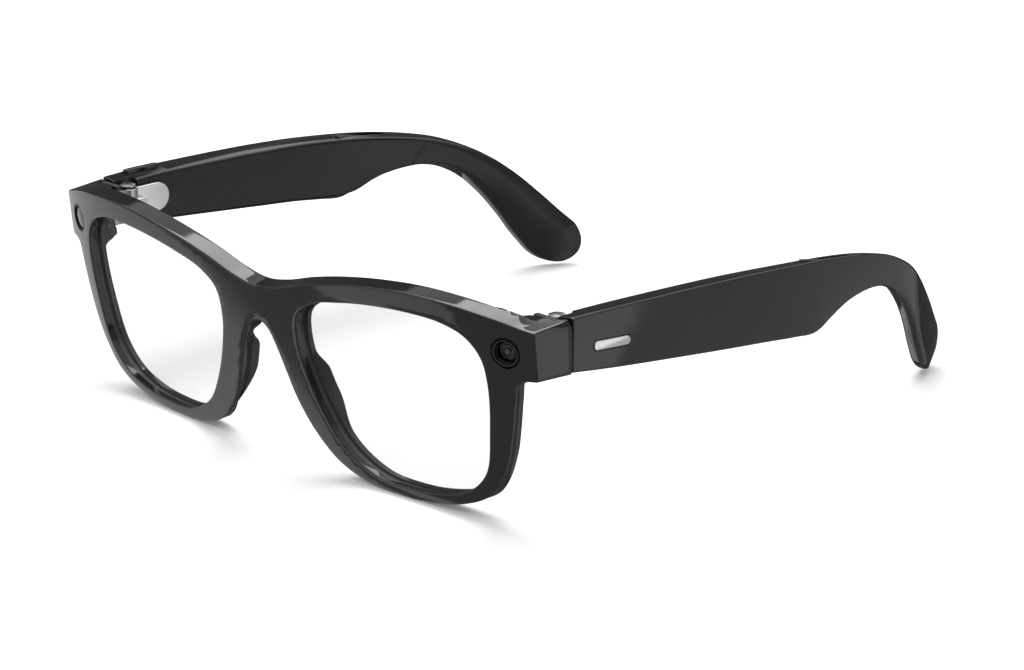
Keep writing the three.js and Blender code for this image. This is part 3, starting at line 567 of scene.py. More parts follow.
def back_depth(x, z):
    """How far behind the origin plane the back surface of the front lies."""
    points = np.stack([np.ravel(x), np.ravel(z)], axis=1)
    near_nose = 1 - smoothstep(nearest_distance(points, NOSE_ARCH), 7, 12)
    pads = smoothstep(z, 8, 16) * (1 - smoothstep(z, 20.5, 25))
    depth = face_setback(x, z) + rim_depth(x, z) + NOSE_GAIN * pads * near_nose.reshape(np.shape(z))
    return np.minimum(depth, SPLIT + SPLIT_GAP - SEAM)


def top_lift(x, z, depth):
    """How far a point near the top edge is lifted, by its depth behind the face."""
    top = np.interp(x, BROW_LINE[:, 0], BROW_LINE[:, 1])
    behind = smoothstep(depth, 4.3, 6) * smoothstep(np.abs(x), 58, 62)
    corner = smoothstep(np.abs(x), 66, 70)
    middle_lift = TOP_RISE * np.clip(depth / 4, 0, 1) * (1 - behind) + (END_TOP - top) * behind
    lift = middle_lift * (1 - corner) + (END_TOP - top) * np.clip(depth / END_LENGTH, 0, 1) * corner
    return lift * smoothstep(z, top - TOP_BAND, top)


# ------------------------------------------------------------------ the front frame


def wall_inset(points, fraction):
    """How far the outer wall draws in, at a fraction of its way to the back."""
    x, z = np.abs(points[:, 0]), points[:, 1]
    end = smoothstep(x, 66, 69) * smoothstep(z, 30.5, 31.8) * (1 - smoothstep(z, 40, 41))
    cheek = smoothstep(z, 0, 14) * (1 - smoothstep(z, 29.6, 30.4))
    side = SIDE_TAPER * smoothstep(x, 50, 62) * cheek
    arch = smoothstep(z, 0, 6) * (1 - smoothstep(z, 23, 28))
    nose = NOSE_FLARE * (1 - smoothstep(x, 19, 26)) * arch
    return side * smoothstep(fraction, -0.1, 0.9) + nose * fraction**1.2 - END_FLARE * end * fraction


def at_depth(points, depth):
    """Outline points set at a depth, with the top edge's lift."""
    x, z = points[:, 0], points[:, 1]
    return np.stack([x, depth, z + top_lift(x, z, depth - face_setback(x, z))], axis=1)


def outer_rings(loop):
    """Rings over the outer edge, from the front face round to the back."""
    normal = side_normals(loop)
    rings = []
    for angle in np.linspace(0, math.pi / 2, 6):
        points = loop - normal * FRONT_ROUND * (1 - math.sin(angle))
        lift = FRONT_ROUND * (1 - math.cos(angle))
        rings.append(at_depth(points, face_setback(*points.T) + lift))
    end_inset = wall_inset(loop, 1)
    tight = smoothstep(np.abs(loop[:, 0]), 62, 66) * smoothstep(loop[:, 1], 29, 31)
    back_round = BACK_ROUND - (BACK_ROUND - END_BACK_ROUND) * tight
    for fraction in np.linspace(0, 1, 9)[1:-1]:
        points = loop - normal * wall_inset(loop, fraction)[:, None]
        front = face_setback(*points.T) + FRONT_ROUND
        rings.append(at_depth(points, front + (back_depth(*points.T) - back_round - front) * fraction))
    for angle in np.linspace(0, math.pi / 2, 7):
        inset = end_inset + back_round * (1 - math.cos(angle))
        points = loop - normal * inset[:, None]
        rings.append(at_depth(points, back_depth(*points.T) - back_round * (1 - math.sin(angle))))
    return rings


def opening_rings(loop):
    """Rings down a lens opening, whose loop turns left, with its groove."""
    normal = side_normals(loop)
    rings = []
    for angle in np.linspace(0, math.pi / 2, 5):
        points = loop + normal * OPENING_ROUND * (1 - math.sin(angle))
        lift = OPENING_ROUND * (1 - math.cos(angle))
        rings.append(at_depth(points, face_setback(*points.T) + lift))
    front, back, lip = LENS_FRONT - GROOVE_ROOM, LENS_BACK + GROOVE_ROOM, GROOVE_LIP
    for grow, depth in ((0, front - lip), (lip, front), (GROOVE_DEPTH, front),
                        (GROOVE_DEPTH, back), (lip, back), (0, back + lip)):
        points = loop + normal * grow
        rings.append(at_depth(points, face_setback(*points.T) + depth))
    for angle in np.linspace(0, math.pi / 2, 6):
        points = loop + normal * OPENING_ROUND * (1 - math.cos(angle))
        drop = OPENING_ROUND * (1 - math.sin(angle))
        rings.append(at_depth(points, back_depth(*points.T) - drop))
    return rings


def sheet_points(outer, holes, spacing):
    """Evenly spread points inside an outline and outside its holes."""
    rows = np.arange(FOOT, BROW_HEIGHT + 1, spacing * 0.87)
    columns = np.arange(-HALF_WIDTH, HALF_WIDTH, spacing)
    grid = np.array([(x + (i % 2) * spacing / 2, z) for i, z in enumerate(rows) for x in columns])
    keep = inside(grid, outer)
    for hole in holes:
        keep &= ~inside(grid, hole)
    grid = grid[keep]
    edges = np.vstack([outer, *holes])
    return grid[nearest_distance(grid, edges) > 0.75 * spacing]


def sheet_faces(outer, holes, filling):
    """Triangles over a region: outline points first, then each hole's, then the filling."""
    loops = [outer, *holes]
    points = np.vstack([*loops, filling])
    edges, start = [], 0
    for loop in loops:
        edges += [(start + i, start + (i + 1) % len(loop)) for i in range(len(loop))]
        start += len(loop)
    result = delaunay_2d_cdt([Vector(p) for p in points.tolist()], edges, [], 0, 1e-7)
    places, triangles, origins = np.array([v[:] for v in result[0]]), result[2], result[3]
    middles = np.array([places[list(t)].mean(axis=0) for t in triangles])
    keep = inside(middles, outer)
    for hole in holes:
        keep &= ~inside(middles, hole)
    return [tuple(origins[i][0] for i in t) for t, kept in zip(triangles, keep) if kept]


def frame_shell():
    """The front frame before its bores: two curved sheets joined by rounded walls."""
    outer = front_outline()
    holes = [lens_outline(), turning_left(mirrored(lens_outline()))]
    stacks = [outer_rings(outer), *(opening_rings(hole) for hole in holes)]
    points, faces, starts = [], [], []
    total = 0
    for stack in stacks:
        starts.append(total)
        points += stack
        faces += ring_faces(len(stack[0]), len(stack), closed_ends=False, start=total)
        total += sum(len(ring) for ring in stack)
    for edge, depth_of in ((0, face_setback), (-1, back_depth)):
        loops = [stack[edge][:, [0, 2]] for stack in stacks]
        filling = sheet_points(loops[0], loops[1:], 1.0)
        names = []
        for start, stack in zip(starts, stacks):
            ring_start = start + (len(stack) - 1) * len(stack[0]) * (edge == -1)
            names += range(ring_start, ring_start + len(stack[0]))
        names += range(total, total + len(filling))
        faces += [tuple(names[i] for i in face) for face in sheet_faces(loops[0], loops[1:], filling)]
        points.append(at_depth(filling, depth_of(*filling.T)))
        total += len(filling)
    return mesh_object("front_frame_visual", np.vstack(points), faces, MATERIALS["frame_gloss_black"])


def eye_place(side):
    x, z = side * EYE[0], EYE[1]
    return (x, float(face_setback(x, z)), z), -face_normal(x, z)


HINGE_CHAMBER = ((64.4, 10.6, 33), (70.4, 30, 40.9))
COVER_SLOT = ((64.1, 15.9, 32.6), (70.4, 30, 50))  # open upwards, behind the chamber


def front_frame():
    piece = frame_shell()
    tools = []
    for side, radius in ((LEFT, CAMERA_RING), (RIGHT, LIGHT_RING)):
        wide, narrow = radius + 0.45, radius + 0.12
        profile = [(0, -2), (wide, -2), (wide, -0.3), (narrow, 0.12), (narrow, 3), (0, 3)]
        tools.append(turned("bore", profile, eye_place(side)))
        for low, high in (HINGE_CHAMBER, COVER_SLOT):
            tools.append(on_side(block("chamber", low, high, round_by=0.3), side))
    carved(piece, "DIFFERENCE", *tools)
    return finished(piece, "front", "frame_gloss_black", "front_frame")


# ------------------------------------------------------------------ lenses and nose pads


def lens(name, side):
    """A curved blank with a bevelled edge that sits in the rim's groove."""
    outline = lens_outline(0.8)
    outline = outline + side_normals(outline) * LENS_OVERLAP
    half = (LENS_BACK - LENS_FRONT) / 2
    middle = (LENS_BACK + LENS_FRONT) / 2
    scales = [0.02, *np.linspace(0.08, 0.96, 20), 0.984, 0.992, 0.997, 1.0]
    drops = [1.0] * 22 + [0.97, 0.85, 0.55]
    rings = []
    for sign in (-1, 1):
        stack = []
        for scale, drop in zip(scales, drops):
            points = LENS_CENTRE + (outline - LENS_CENTRE) * scale
            stack.append(at_depth(points, face_setback(*points.T) + middle + sign * half * drop))
        rings += stack if sign < 0 else stack[::-1]
    piece = on_side(lofted(f"{name}_lens_visual", rings, MATERIALS["clear_lens"]), side)
    return finished(piece, "front", "clear_lens", f"{name}_lens")


PAD_BOTTOM, PAD_TOP, PAD_FRONT = 5.5, 21.5, 2.8


def nose_pad(name, side):
    """A satin pad laid over the nose side of the rim and round its back edge."""
    half = NOSE_ARCH[NOSE_ARCH[:, 0] > 0]
    half = half[(half[:, 1] > PAD_BOTTOM - 2) & (half[:, 1] < PAD_TOP + 2)]
    half = half[np.argsort(half[:, 1])]
    heights = np.linspace(PAD_BOTTOM, PAD_TOP, 65)
    line = np.stack([np.interp(heights, half[:, 1], half[:, 0]), heights], axis=1)
    along = np.gradient(line, axis=0)
    along /= np.linalg.norm(along, axis=1)[:, None]
    into_rim = np.stack([along[:, 1], -along[:, 0]], axis=1)
    rings = []
    for height, point, inward in zip(heights, line, into_rim):
        end = min((PAD_TOP - height) / 0.8, (height - PAD_BOTTOM) / 2.5, 1)
        rings.append(pad_section(point, inward, math.sqrt(1 - (1 - end) ** 2)))
    piece = on_side(lofted(f"{name}_nose_pad_visual", rings, MATERIALS["nose_pad_black"]), side)
    return finished(piece, "front", "nose_pad_black", f"{name}_nose_pad")


PAD_PROUD = (0.02, 0.28)  # how far the pad stands out of the rim: at its ends, and more between


def pad_section(point, inward, swell):
    """One cross-section of a nose pad: a thin layer over the rim's wall and back edge."""
    x, z = point
    flare = NOSE_FLARE * float(smoothstep(z, 0, 6))
    front = float(face_setback(x, z)) + PAD_FRONT
    back_x, back_z = point + inward * (flare + 0.6)
    back = float(back_depth(np.array([back_x]), np.array([back_z]))[0])
    full = back - float(face_setback(x, z))
    proud = PAD_PROUD[0] + PAD_PROUD[1] * swell
    section = []
    for depth in np.linspace(front, back - BACK_ROUND, 10):
        fraction = (depth - float(face_setback(x, z))) / full
        edge = min((depth - front) / 0.5, 1)
        section.append((flare * fraction**1.2 - proud * math.sqrt(1 - (1 - edge) ** 2), depth))
    radius = BACK_ROUND + proud
    centre = (flare + BACK_ROUND, back - BACK_ROUND)
    for angle in np.linspace(0.1, math.pi / 2, 7):
        section.append((centre[0] - radius * math.cos(angle), centre[1] + radius * math.sin(angle)))
    section += [(flare + 2.2, back + proud * 0.6), (flare + 2.6, back - 0.3), (flare + 2.0, back - 1.6),
                (flare * 0.6 + 0.9, front + 0.3)]
    return [(x + inward[0] * across, depth, z + inward[1] * across) for across, depth in section]


# ------------------------------------------------------------------ camera and capture light


def camera_bezel():
    profile = [(1.95, 1.0), (1.95, 0.62), (2.05, 0.5), (2.3, 0.28), (2.45, 0.1), (2.6, 0.0),
               (2.78, -0.06), (2.92, -0.03), (CAMERA_RING, 0.08), (CAMERA_RING, 1.9), (2.2, 1.9),
               (2.2, 1.05), (1.95, 1.0)]
    piece = turned("camera_bezel_visual", profile, eye_place(LEFT), MATERIALS["deep_black"])
    return finished(piece, "front", "satin_black", "camera_bezel")


def camera_glass():
    profile = [(0, 1.2), (1.8, 1.2), (1.9, 1.3), (1.9, 1.7), (1.8, 1.8), (0, 1.8)]
    piece = turned("camera_cover_glass_visual", profile, eye_place(LEFT), MATERIALS["dark_glass"])
    return finished(piece, "front", "dark_glass", "camera_cover_glass")


def camera_barrel():
    """Stepped barrel, with two grey rings, the outer one on the bezel a painted highlight, and a small grey
    front element before it.
    """
    place = eye_place(LEFT)
    steps = [(0, 2.75), (0.55, 2.75), (0.75, 2.45), (0.95, 2.45), (1.15, 2.15), (1.3, 2.15),
             (1.45, 2.05), (1.85, 2.05), (1.9, 2.15), (1.9, 3.4), (0, 3.4)]
    barrel = turned("camera_barrel_visual", steps, place, MATERIALS["deep_black"])
    finished(barrel, "front", "satin_black", "camera_lens_barrel")
    trim = [(1.2, 0.95), (1.22, 0.88), (1.3, 0.88), (1.32, 0.95), (1.3, 1.02), (1.22, 1.02), (1.2, 0.95)]
    # The thin grey ring on the bezel's bevel is a painted highlight: it stands for the bezel's gloss line.
    line = [(2.5, 0.1), (2.52, 0.0), (2.6, -0.05), (2.64, 0.05), (2.5, 0.1)]
    dome = [(0, 0.92), (0.2, 0.93), (0.38, 0.96), (0.5, 1.03), (0.52, 1.1), (0.45, 1.14), (0, 1.14)]
    grey = MATERIALS["light_diffuser"]
    details = (("camera_trim_ring", trim), ("camera_bezel_highlight_ring", line), ("camera_front_element", dome))
    for name, profile in details:
        finished(turned(name, profile, place, grey), "front", "light_diffuser")


def capture_light():
    place = eye_place(RIGHT)
    ring = [(2.5, 1.6), (2.5, 0.5), (2.56, 0.3), (2.7, 0.14), (2.85, 0.06), (LIGHT_RING, 0.12),
            (LIGHT_RING, 2.1), (2.5, 2.1), (2.5, 1.6)]
    bezel = turned("capture_light_bezel_visual", ring, place, MATERIALS["deep_black"])
    finished(bezel, "front", "satin_black", "capture_light_bezel")
    dome = [(2.45 * math.sin(a), 0.62 - 0.5 * math.cos(a)) for a in np.linspace(0, math.pi / 2, 10)]
    dome += [(2.45, 1.9), (0, 1.9)]
    light = turned("capture_light_diffuser_visual", dome, place, MATERIALS["light_diffuser"])
    finished(light, "front", "light_diffuser", "capture_light_diffuser")


# ------------------------------------------------------------------ temples

TEMPLE_START = SPLIT + SPLIT_GAP
TEMPLE_BOTTOM = [(TEMPLE_START, 31.9), (30, 30.7), (45, 29.2), (60, 27.7), (72, 26.5), (82, 25.4),
                 (88.5, 25.2), (95, 27.4), (101, 28.8), (108, 29.2), (115, 28.1), (121, 24.8),
                 (126.2, 19.7), (130.7, 13.8), (133.8, 9.0), (136.6, 5.2)]
TEMPLE_TOP = [(TEMPLE_START, 42.4), (30, 42.5), (45, 42.2), (60, 41.7), (73, 41), (84, 40.1), (91, 39.4),
              (98.5, 38.4), (106, 37.1), (114, 35.2), (121, 32.6), (128, 29), (134.2, 24.2), (140.4, 18.2),
              (145.2, 13.2), (148.6, 9.8)]
TEMPLE_BOW = [(SPLIT, 69.6), (30, 70.5), (44, 71.1), (60, 71.6), (77, 71.8), (92, 71), (107, 69.1),
              (126, 65.4), (138, 60.8), (150, 55.0), (156, 51.8)]
TEMPLE_HALF_WIDTH = [(SPLIT, 3), (60, 2.9), (77, 2.6), (92, 2.4), (107, 2.3), (126, 2.25), (156, 2.3)]
TOP_DROP = 0.6  # the top falls this far from its outer edge to its inner one
TIP_BEVEL = (1.6, 4.2)  # the slanted face of the tip, across its thickness and down its inner side
TIP_CAP = 8.3
TIP_TURN = np.array([0.56, -0.83])  # the way the rounded end grows
TEMPLE_LOW = np.array(TEMPLE_BOTTOM, float)
TEMPLE_HIGH = np.array(TEMPLE_TOP, float)


class Station:
    """A section across the temple: its middle, its upward direction and its half sizes."""

    def __init__(self, t):
        low, high = curve_point(TEMPLE_LOW, t), curve_point(TEMPLE_HIGH, t)
        self.middle = (low + high) / 2
        self.half_height = np.linalg.norm(high - low) / 2
        self.up = (high - low) / np.linalg.norm(high - low)
        self.half_width = read_curve(TEMPLE_HALF_WIDTH, self.middle[0])

    def ring(self, inner, outer, low, high, radii, slant=0.0, drop=0.0, shift=(0.0, 0.0), steps=6,
             bevel=(0, 0)):
        """A rounded section. radii run outer top, inner top, inner bottom, outer bottom.

        slant lowers the outer bottom edge, drop lowers the inner top edge and bevel cuts it.
        """
        limit = min(outer - inner, high - low) / 2 - 0.01
        a, b, c, d = (min(r, limit) for r in radii)
        corners = [(outer - a, high - a, a), (inner + b, high - drop - b, b),
                   (inner + c, low + slant + c, c), (outer - d, low - slant + d, d)]
        points = []
        for quarter, (across, along, radius) in enumerate(corners):
            cut, fall = bevel if quarter == 1 else (0, 0)
            for step in np.linspace(0, 1, steps):
                angle = (quarter + step) * math.pi / 2
                rise = along + radius * math.sin(angle) - fall * step
                reach = across + radius * math.cos(angle) + cut * (1 - step)
                y, z = self.middle + shift + self.up * rise
                points.append((read_curve(TEMPLE_BOW, y) + reach, y, z))
        return points

    def point(self, across, along):
        y, z = self.middle + self.up * along
        return np.array([read_curve(TEMPLE_BOW, y) + across, y, z])


def station_at(depth):
    low, high = 0.0, 1.0
    for _ in range(30):
        t = (low + high) / 2
        if Station(t).middle[0] < depth:
            low = t
        else:
            high = t
    return Station(low)


def temple_solid():
    """The whole outside of a temple, crisp along its straight part and soft towards the tip."""
    rings = []
    for t in [0, 0.0006, 0.002, *np.linspace(0.005, 1, 150)]:
        s = Station(t)
        pull = 0.1 * (1 - min(t / 0.002, 1)) ** 2
        crisp = 1 - float(smoothstep(t, 0.6, 0.9))
        slant = (0.5 + 0.6 * math.exp(-(((s.middle[0] - 93) / 7) ** 2))) * crisp
        soft = float(smoothstep(t, 0.55, 0.85))
        radii = (0.45 + 0.9 * soft, 0.8 - 0.4 * soft, 1.0 + 0.8 * soft, 0.6 + 1.2 * soft)
        w, h = s.half_width - pull, s.half_height - pull
        cut = float(smoothstep(t, 0.5, 0.97))
        bevel = (TIP_BEVEL[0] * cut, TIP_BEVEL[1] * cut)
        rings.append(s.ring(-w, w, -h, h, radii, slant, TOP_DROP * crisp, bevel=bevel))
    last = Station(1)
    for e in np.sin(np.linspace(0.08, 1.53, 20)):
        shrink = math.sqrt(1 - e * e)
        w, h = last.half_width * shrink**0.8, last.half_height * shrink
        radii = [r * shrink for r in (1.35, 0.4, 1.8, 1.8)]
        bevel = (TIP_BEVEL[0] * shrink, TIP_BEVEL[1] * shrink)
        rings.append(last.ring(-w, w, -h, h, radii, shift=TIP_TURN * TIP_CAP * e, bevel=bevel))
    return rings


POCKET = (27.5, 108.0)  # depths between which the temple is hollow
HOUSING_WALL, COVER_WALL, COVER_PLAY = 1.0, 0.9, 0.08


def inset_rings(ends, sides, inset, radius, count=60):
    """Sections along the temple's straight part, set in from its top and bottom."""
    rings = []
    for depth in np.linspace(*ends, count):
        s = station_at(depth)
        inner, outer = sides(s)
        h = s.half_height - inset
        rings.append(s.ring(inner, outer, -h, h, [radius] * 4, steps=4))
    return rings


def pill(name, length, width, low, high, place, material=None, steps=16, round_by=0.0):
    """A round-ended slab: place is its middle, its long direction and its upward direction."""
    middle, along, up = (np.array(v, float) for v in place)
    along /= np.linalg.norm(along)
    up /= np.linalg.norm(up)
    across = np.cross(up, along)
    half = (length - width) / 2
    outline = []
    for end, start in ((half, -math.pi / 2), (-half, math.pi / 2)):
        for angle in np.linspace(start, start + math.pi, steps):
            outline.append((end + width / 2 * math.cos(angle), width / 2 * math.sin(angle)))
    heights = [(low, 0.0)]
    if round_by:
        heights += [(high - round_by * (1 - math.sin(a)), round_by * (1 - math.cos(a)))
                    for a in np.linspace(0, math.pi / 2, 5)]
    else:
        heights.append((high, 0.0))
    rings = []
    for height, inset in heights:
        scale = 1 - 2 * inset / width
        reach = 1 - 2 * inset / length
        rings.append([middle + along * (u * reach) + across * (v * scale) + up * height
                      for u, v in outline])
    return lofted(name, rings, material)


def top_place(depth, across):
    s = station_at(depth)
    return s.point(across, s.half_height), (0, s.up[1], -s.up[0]), (0, s.up[0], s.up[1])


SPEAKER_SLOT = {"depth": 91.4, "across": 0.5, "length": 15, "width": 1.8}
BADGE = {"depth": 28.8, "lift": -1.1, "length": 9.5, "width": 1.9, "sink": 0.4}
BUTTON = {"depth": 28.65, "across": 1.35, "length": 9.4, "width": 1.5, "proud": 0.6, "travel": 0.35}
SWITCH = {"depth": 43.0, "length": 4.0, "height": 2.4, "travel": 2.0}


def badge_place():
    s = station_at(BADGE["depth"])
    ahead = station_at(BADGE["depth"] + 4)
    middle = s.point(s.half_width, BADGE["lift"])
    along = ahead.point(ahead.half_width, BADGE["lift"]) - middle
    out = np.cross(along, [0, 0, 1])
    return middle, along, out


def switch_middle():
    s = station_at(SWITCH["depth"])
    return s.point(-s.half_width, 0)


def hinge_recess():
    """The space in the temple for its hinge plate, and the open end round the knuckles."""
    end = block("end_space", (55, 10, 25), (68.7, 24, 46), round_by=0.3)
    plate = plate_solid("plate_space", 60, 67.85, 0.25)
    neck = block("neck_space", (60, 22, 35.6), (68, 25.5, 38.3))
    return [end, plate, neck]


def plate_solid(name, x0, x1, grow, material=None):
    """A D-shaped slab across X: square towards the hinge and round towards the ear."""
    radius = 3.2 + grow
    outline = [(23.6 - grow, 37 - radius), (23.6 - grow, 37 + radius)]
    outline += [(29.2 + radius * math.cos(a), 37 + radius * math.sin(a))
                for a in np.linspace(math.pi / 2, -math.pi / 2, 33)]
    return lofted(name, [[(x, y, z) for y, z in outline] for x in (x0, x1)], material)


def satin_inside(piece):
    """The inner face of the ear piece has the cover's satin finish."""
    piece.data.materials.append(MATERIALS["inner_black"])
    for face in piece.data.polygons:
        if face.normal.x < -0.35:
            face.material_index = len(piece.data.materials) - 1


def temple_housing(name, side):
    piece = lofted(f"{name}_temple_visual", temple_solid(), MATERIALS["frame_gloss_black"])
    slot = SPEAKER_SLOT
    badge = badge_place()
    wall = HOUSING_WALL
    pocket = inset_rings(POCKET, lambda s: (-s.half_width - 2, s.half_width - wall), wall, 0.5)
    tools = [*hinge_recess(), lofted("pocket", pocket)]
    top = top_place(slot["depth"], slot["across"])
    tools.append(pill("slot", slot["length"], slot["width"], -3, 3, top))
    tools.append(pill("badge_recess", BADGE["length"] + 0.4, BADGE["width"] + 0.4, -0.6, 3, badge))
    if side == RIGHT:
        place = top_place(BUTTON["depth"], BUTTON["across"])
        tools.append(pill("button_bore", BUTTON["length"] + 0.4, BUTTON["width"] + 0.4, -4, 3, place))
    carved(piece, "DIFFERENCE", *tools)
    satin_inside(piece)
    on_side(piece, side)
    return finished(piece, f"{name}_temple", "frame_gloss_black", f"{name}_temple_housing")


def temple_cover(name, side):
    ends = (POCKET[0] + COVER_PLAY, POCKET[1] - COVER_PLAY)
    inset = HOUSING_WALL + 0.06
    rings = inset_rings(ends, lambda s: (-s.half_width - 0.02, -s.half_width + COVER_WALL), inset, 0.4)
    piece = lofted(f"{name}_temple_cover_visual", rings, MATERIALS["inner_black"])
    bevelled(piece, 0.12, 2)
    tools = [plate_solid("plate_space", 60, 70, 0.25)]
    if side == LEFT:
        x, y, z = switch_middle()
        half, tall = SWITCH["length"] / 2 + FIT, SWITCH["height"] / 2 + FIT
        low = (x - 3, y - half, z - tall)
        high = (x + 3, y + half + SWITCH["travel"], z + tall)
        tools.append(block("switch_slot", low, high))
    carved(piece, "DIFFERENCE", *tools)
    return finished(on_side(piece, side), f"{name}_temple", "frame_gloss_black", f"{name}_temple_cover")


def badge(name, side):
    """A plain polished inlay with rounded edges."""
    piece = pill(f"{name}_badge_visual", BADGE["length"], BADGE["width"], -BADGE["sink"], 0.15,
                 badge_place(), MATERIALS["badge_steel"], round_by=0.2)
    return finished(on_side(piece, side), f"{name}_temple", "badge_steel", f"{name}_badge")


def speaker_grille(name, side):
    slot = SPEAKER_SLOT
    place = top_place(slot["depth"], slot["across"])
    piece = pill(f"{name}_speaker_grille_visual", slot["length"] - 2 * FIT, slot["width"] - 2 * FIT,
                 -1.4, -0.5, place, MATERIALS["speaker_mesh"], round_by=0.12)
    return finished(on_side(piece, side), f"{name}_temple", "speaker_mesh", f"{name}_speaker_grille")


def capture_button():
    place = top_place(BUTTON["depth"], BUTTON["across"])
    cap = pill("capture_button_visual", BUTTON["length"], BUTTON["width"], -2.0, BUTTON["proud"], place,
               MATERIALS["frame_gloss_black"], round_by=0.35)
    return finished(on_side(cap, RIGHT), "capture_button", "frame_gloss_black", "right_capture_button")


def power_switch():
    x, y, z = switch_middle()
    half, tall = SWITCH["length"] / 2, SWITCH["height"] / 2
    piece = block("power_switch_visual", (x - 0.55, y - half, z - tall), (x + 1.2, y + half, z + tall),
                  MATERIALS["satin_black"], round_by=0.3)
    cuts = []
    for k in (-1, 0, 1):
        middle = y + 0.8 * k
        cuts.append(block("cut", (x - 1.2, middle - 0.15, z - 2), (x - 0.4, middle + 0.15, z + 2)))
    carved(piece, "DIFFERENCE", *cuts)
    return finished(piece, "power_switch", "satin_black", "left_power_switch")


# ------------------------------------------------------------------ hinges

KNUCKLE = 2.0
LOW_KNUCKLE, MIDDLE_KNUCKLE, HIGH_KNUCKLE = (33.3, 35.6), (35.9, 38.0), (38.3, 40.7)


def barrel(name, span, radius=KNUCKLE, material=None):
    low, high = span
    edge = 0.18
    profile = [(0.85, low), (radius - edge, low), (radius, low + edge), (radius, high - edge),
               (radius - edge, high), (0.85, high), (0.85, low)]
    return turned(name, profile, ((HINGE[0], HINGE[1], 0), (0, 0, 1)), material, 64)


def hinge_front_leaf(name, side):
    metal = MATERIALS["hinge_steel"]
    piece = block(f"{name}_hinge_front_visual", (64.8, 14.7, 33.3), (69.9, 15.6, 40.7), metal, 0.15)
    parts = []
    for low, high in (LOW_KNUCKLE, HIGH_KNUCKLE):
        start = (HINGE[0] - 1.4, 15.1, low)
        arm = block("arm", start, (HINGE[0] + 1.4, HINGE[1] - 1.4, high), round_by=0.12)
        parts += [arm, barrel("knuckle", (low, high))]
    carved(piece, "UNION", *parts)
    return finished(on_side(piece, side), "front", "hinge_steel", f"{name}_hinge_front_leaf")


def hinge_temple_leaf(name, side):
    piece = plate_solid(f"{name}_hinge_plate_visual", 66.5, 67.6, 0, MATERIALS["plate_steel"])
    bevelled(piece, 0.18, 3)
    low, high = MIDDLE_KNUCKLE
    start = (HINGE[0] - 1.3, HINGE[1] + 1.3, low)
    arm = block("arm", start, (HINGE[0] + 1.3, 25.0, high), round_by=0.12)
    carved(piece, "UNION", arm, barrel("knuckle", (low, high)))
    return finished(on_side(piece, side), f"{name}_temple", "hinge_steel", f"{name}_hinge_temple_leaf")


def hinge_screw(name, side):
    """The hinge pin: a slotted screw with a low head."""
    profile = [(0, 33.3), (0.7, 33.3), (0.7, 41.0), (1.6, 41.0), (1.75, 41.1), (1.75, 41.35),
               (1.65, 41.5), (1.2, 41.6), (0.6, 41.65), (0, 41.65)]
    piece = turned(f"{name}_hinge_screw_visual", profile, ((HINGE[0], HINGE[1], 0), (0, 0, 1)),
                   MATERIALS["hinge_steel"], 64)
    slot = block("slot", (HINGE[0] - 3, HINGE[1] - 0.2, 41.4), (HINGE[0] + 3, HINGE[1] + 0.2, 43))
    carved(piece, "DIFFERENCE", slot)
    return finished(on_side(piece, side), "front", "hinge_steel", f"{name}_hinge_screw")


def end_cover(name, side):
    satin = MATERIALS["satin_black"]
    piece = block(f"{name}_end_cover_visual", (64.4, 16.2, 32.9), (70.1, 17.5, 42.2), satin, 0.25)
    carved(piece, "DIFFERENCE", block("slot", (64, 14, 32), (68.1, 20, 41.1), round_by=0.3))
    return finished(on_side(piece, side), "front", "satin_black", f"{name}_end_cover")


def charge_contact(name, side):
    """A gold contact with a shallow dish in its face."""
    x, z = 3.2, 33.6
    back = float(back_depth(np.array([x]), np.array([z]))[0])
    profile = [(0, -1.1), (0.95, -1.1), (1.0, -1.0), (1.0, -0.05), (0.9, 0.06), (0.75, 0.08),
               (0.6, 0.02), (0, -0.02)]
    place = ((x, back, z), (0, 1, 0))
    piece = turned(f"{name}_charge_contact_visual", profile, place, MATERIALS["contact_gold"])
    return finished(on_side(piece, side), "front", "contact_gold", f"{name}_charge_contact")


# ------------------------------------------------------------------ floor, light and camera

CAMERA_TARGET = np.array([15.54, 58.2, 17.31])
CAMERA_DISTANCE = 711.1
CAMERA_TURN, CAMERA_RISE = math.radians(45.76), math.radians(17.73)
LENS_LENGTH = 118.33


def studio_floor():
    mesh = bpy.data.meshes.new("floor")
    size = 6.0
    corners = [(size * x, size * y, 0) for x, y in ((-1, -1), (1, -1), (1, 1), (-1, 1))]
    mesh.from_pydata(corners, [], [(0, 1, 2, 3)])
    material, nodes, links, shader = new_material("pale_floor")
    links.new(tinted(nodes, links, noise(nodes, links, 4), (0.90, 0.90, 0.90), (0.93, 0.93, 0.93)),
              shader.inputs["Base Color"])
    shader.inputs["Roughness"].default_value = 0.9
    shader.inputs["Specular IOR Level"].default_value = 0.0
    shader.inputs["Emission Color"].default_value = (1, 1, 1, 1)
    shader.inputs["Emission Strength"].default_value = 0.14
    floor = link("floor", mesh, material)
    floor.visible_glossy = False


def soft_window(nodes, links, source, low, high, edge):
    """One between two values of a socket, with soft edges."""
    parts = []
    for start, end in ((low - edge, low + edge), (high + edge, high - edge)):
        step = nodes.new("ShaderNodeMapRange")
        step.interpolation_type = "SMOOTHSTEP"
        step.inputs["From Min"].default_value = math.radians(start)
        step.inputs["From Max"].default_value = math.radians(end)
        links.new(source, step.inputs["Value"])
        parts.append(step.outputs["Result"])
    both = nodes.new("ShaderNodeMath")
    both.operation = "MULTIPLY"
    links.new(parts[0], both.inputs[0])
    links.new(parts[1], both.inputs[1])
    return both.outputs["Value"]


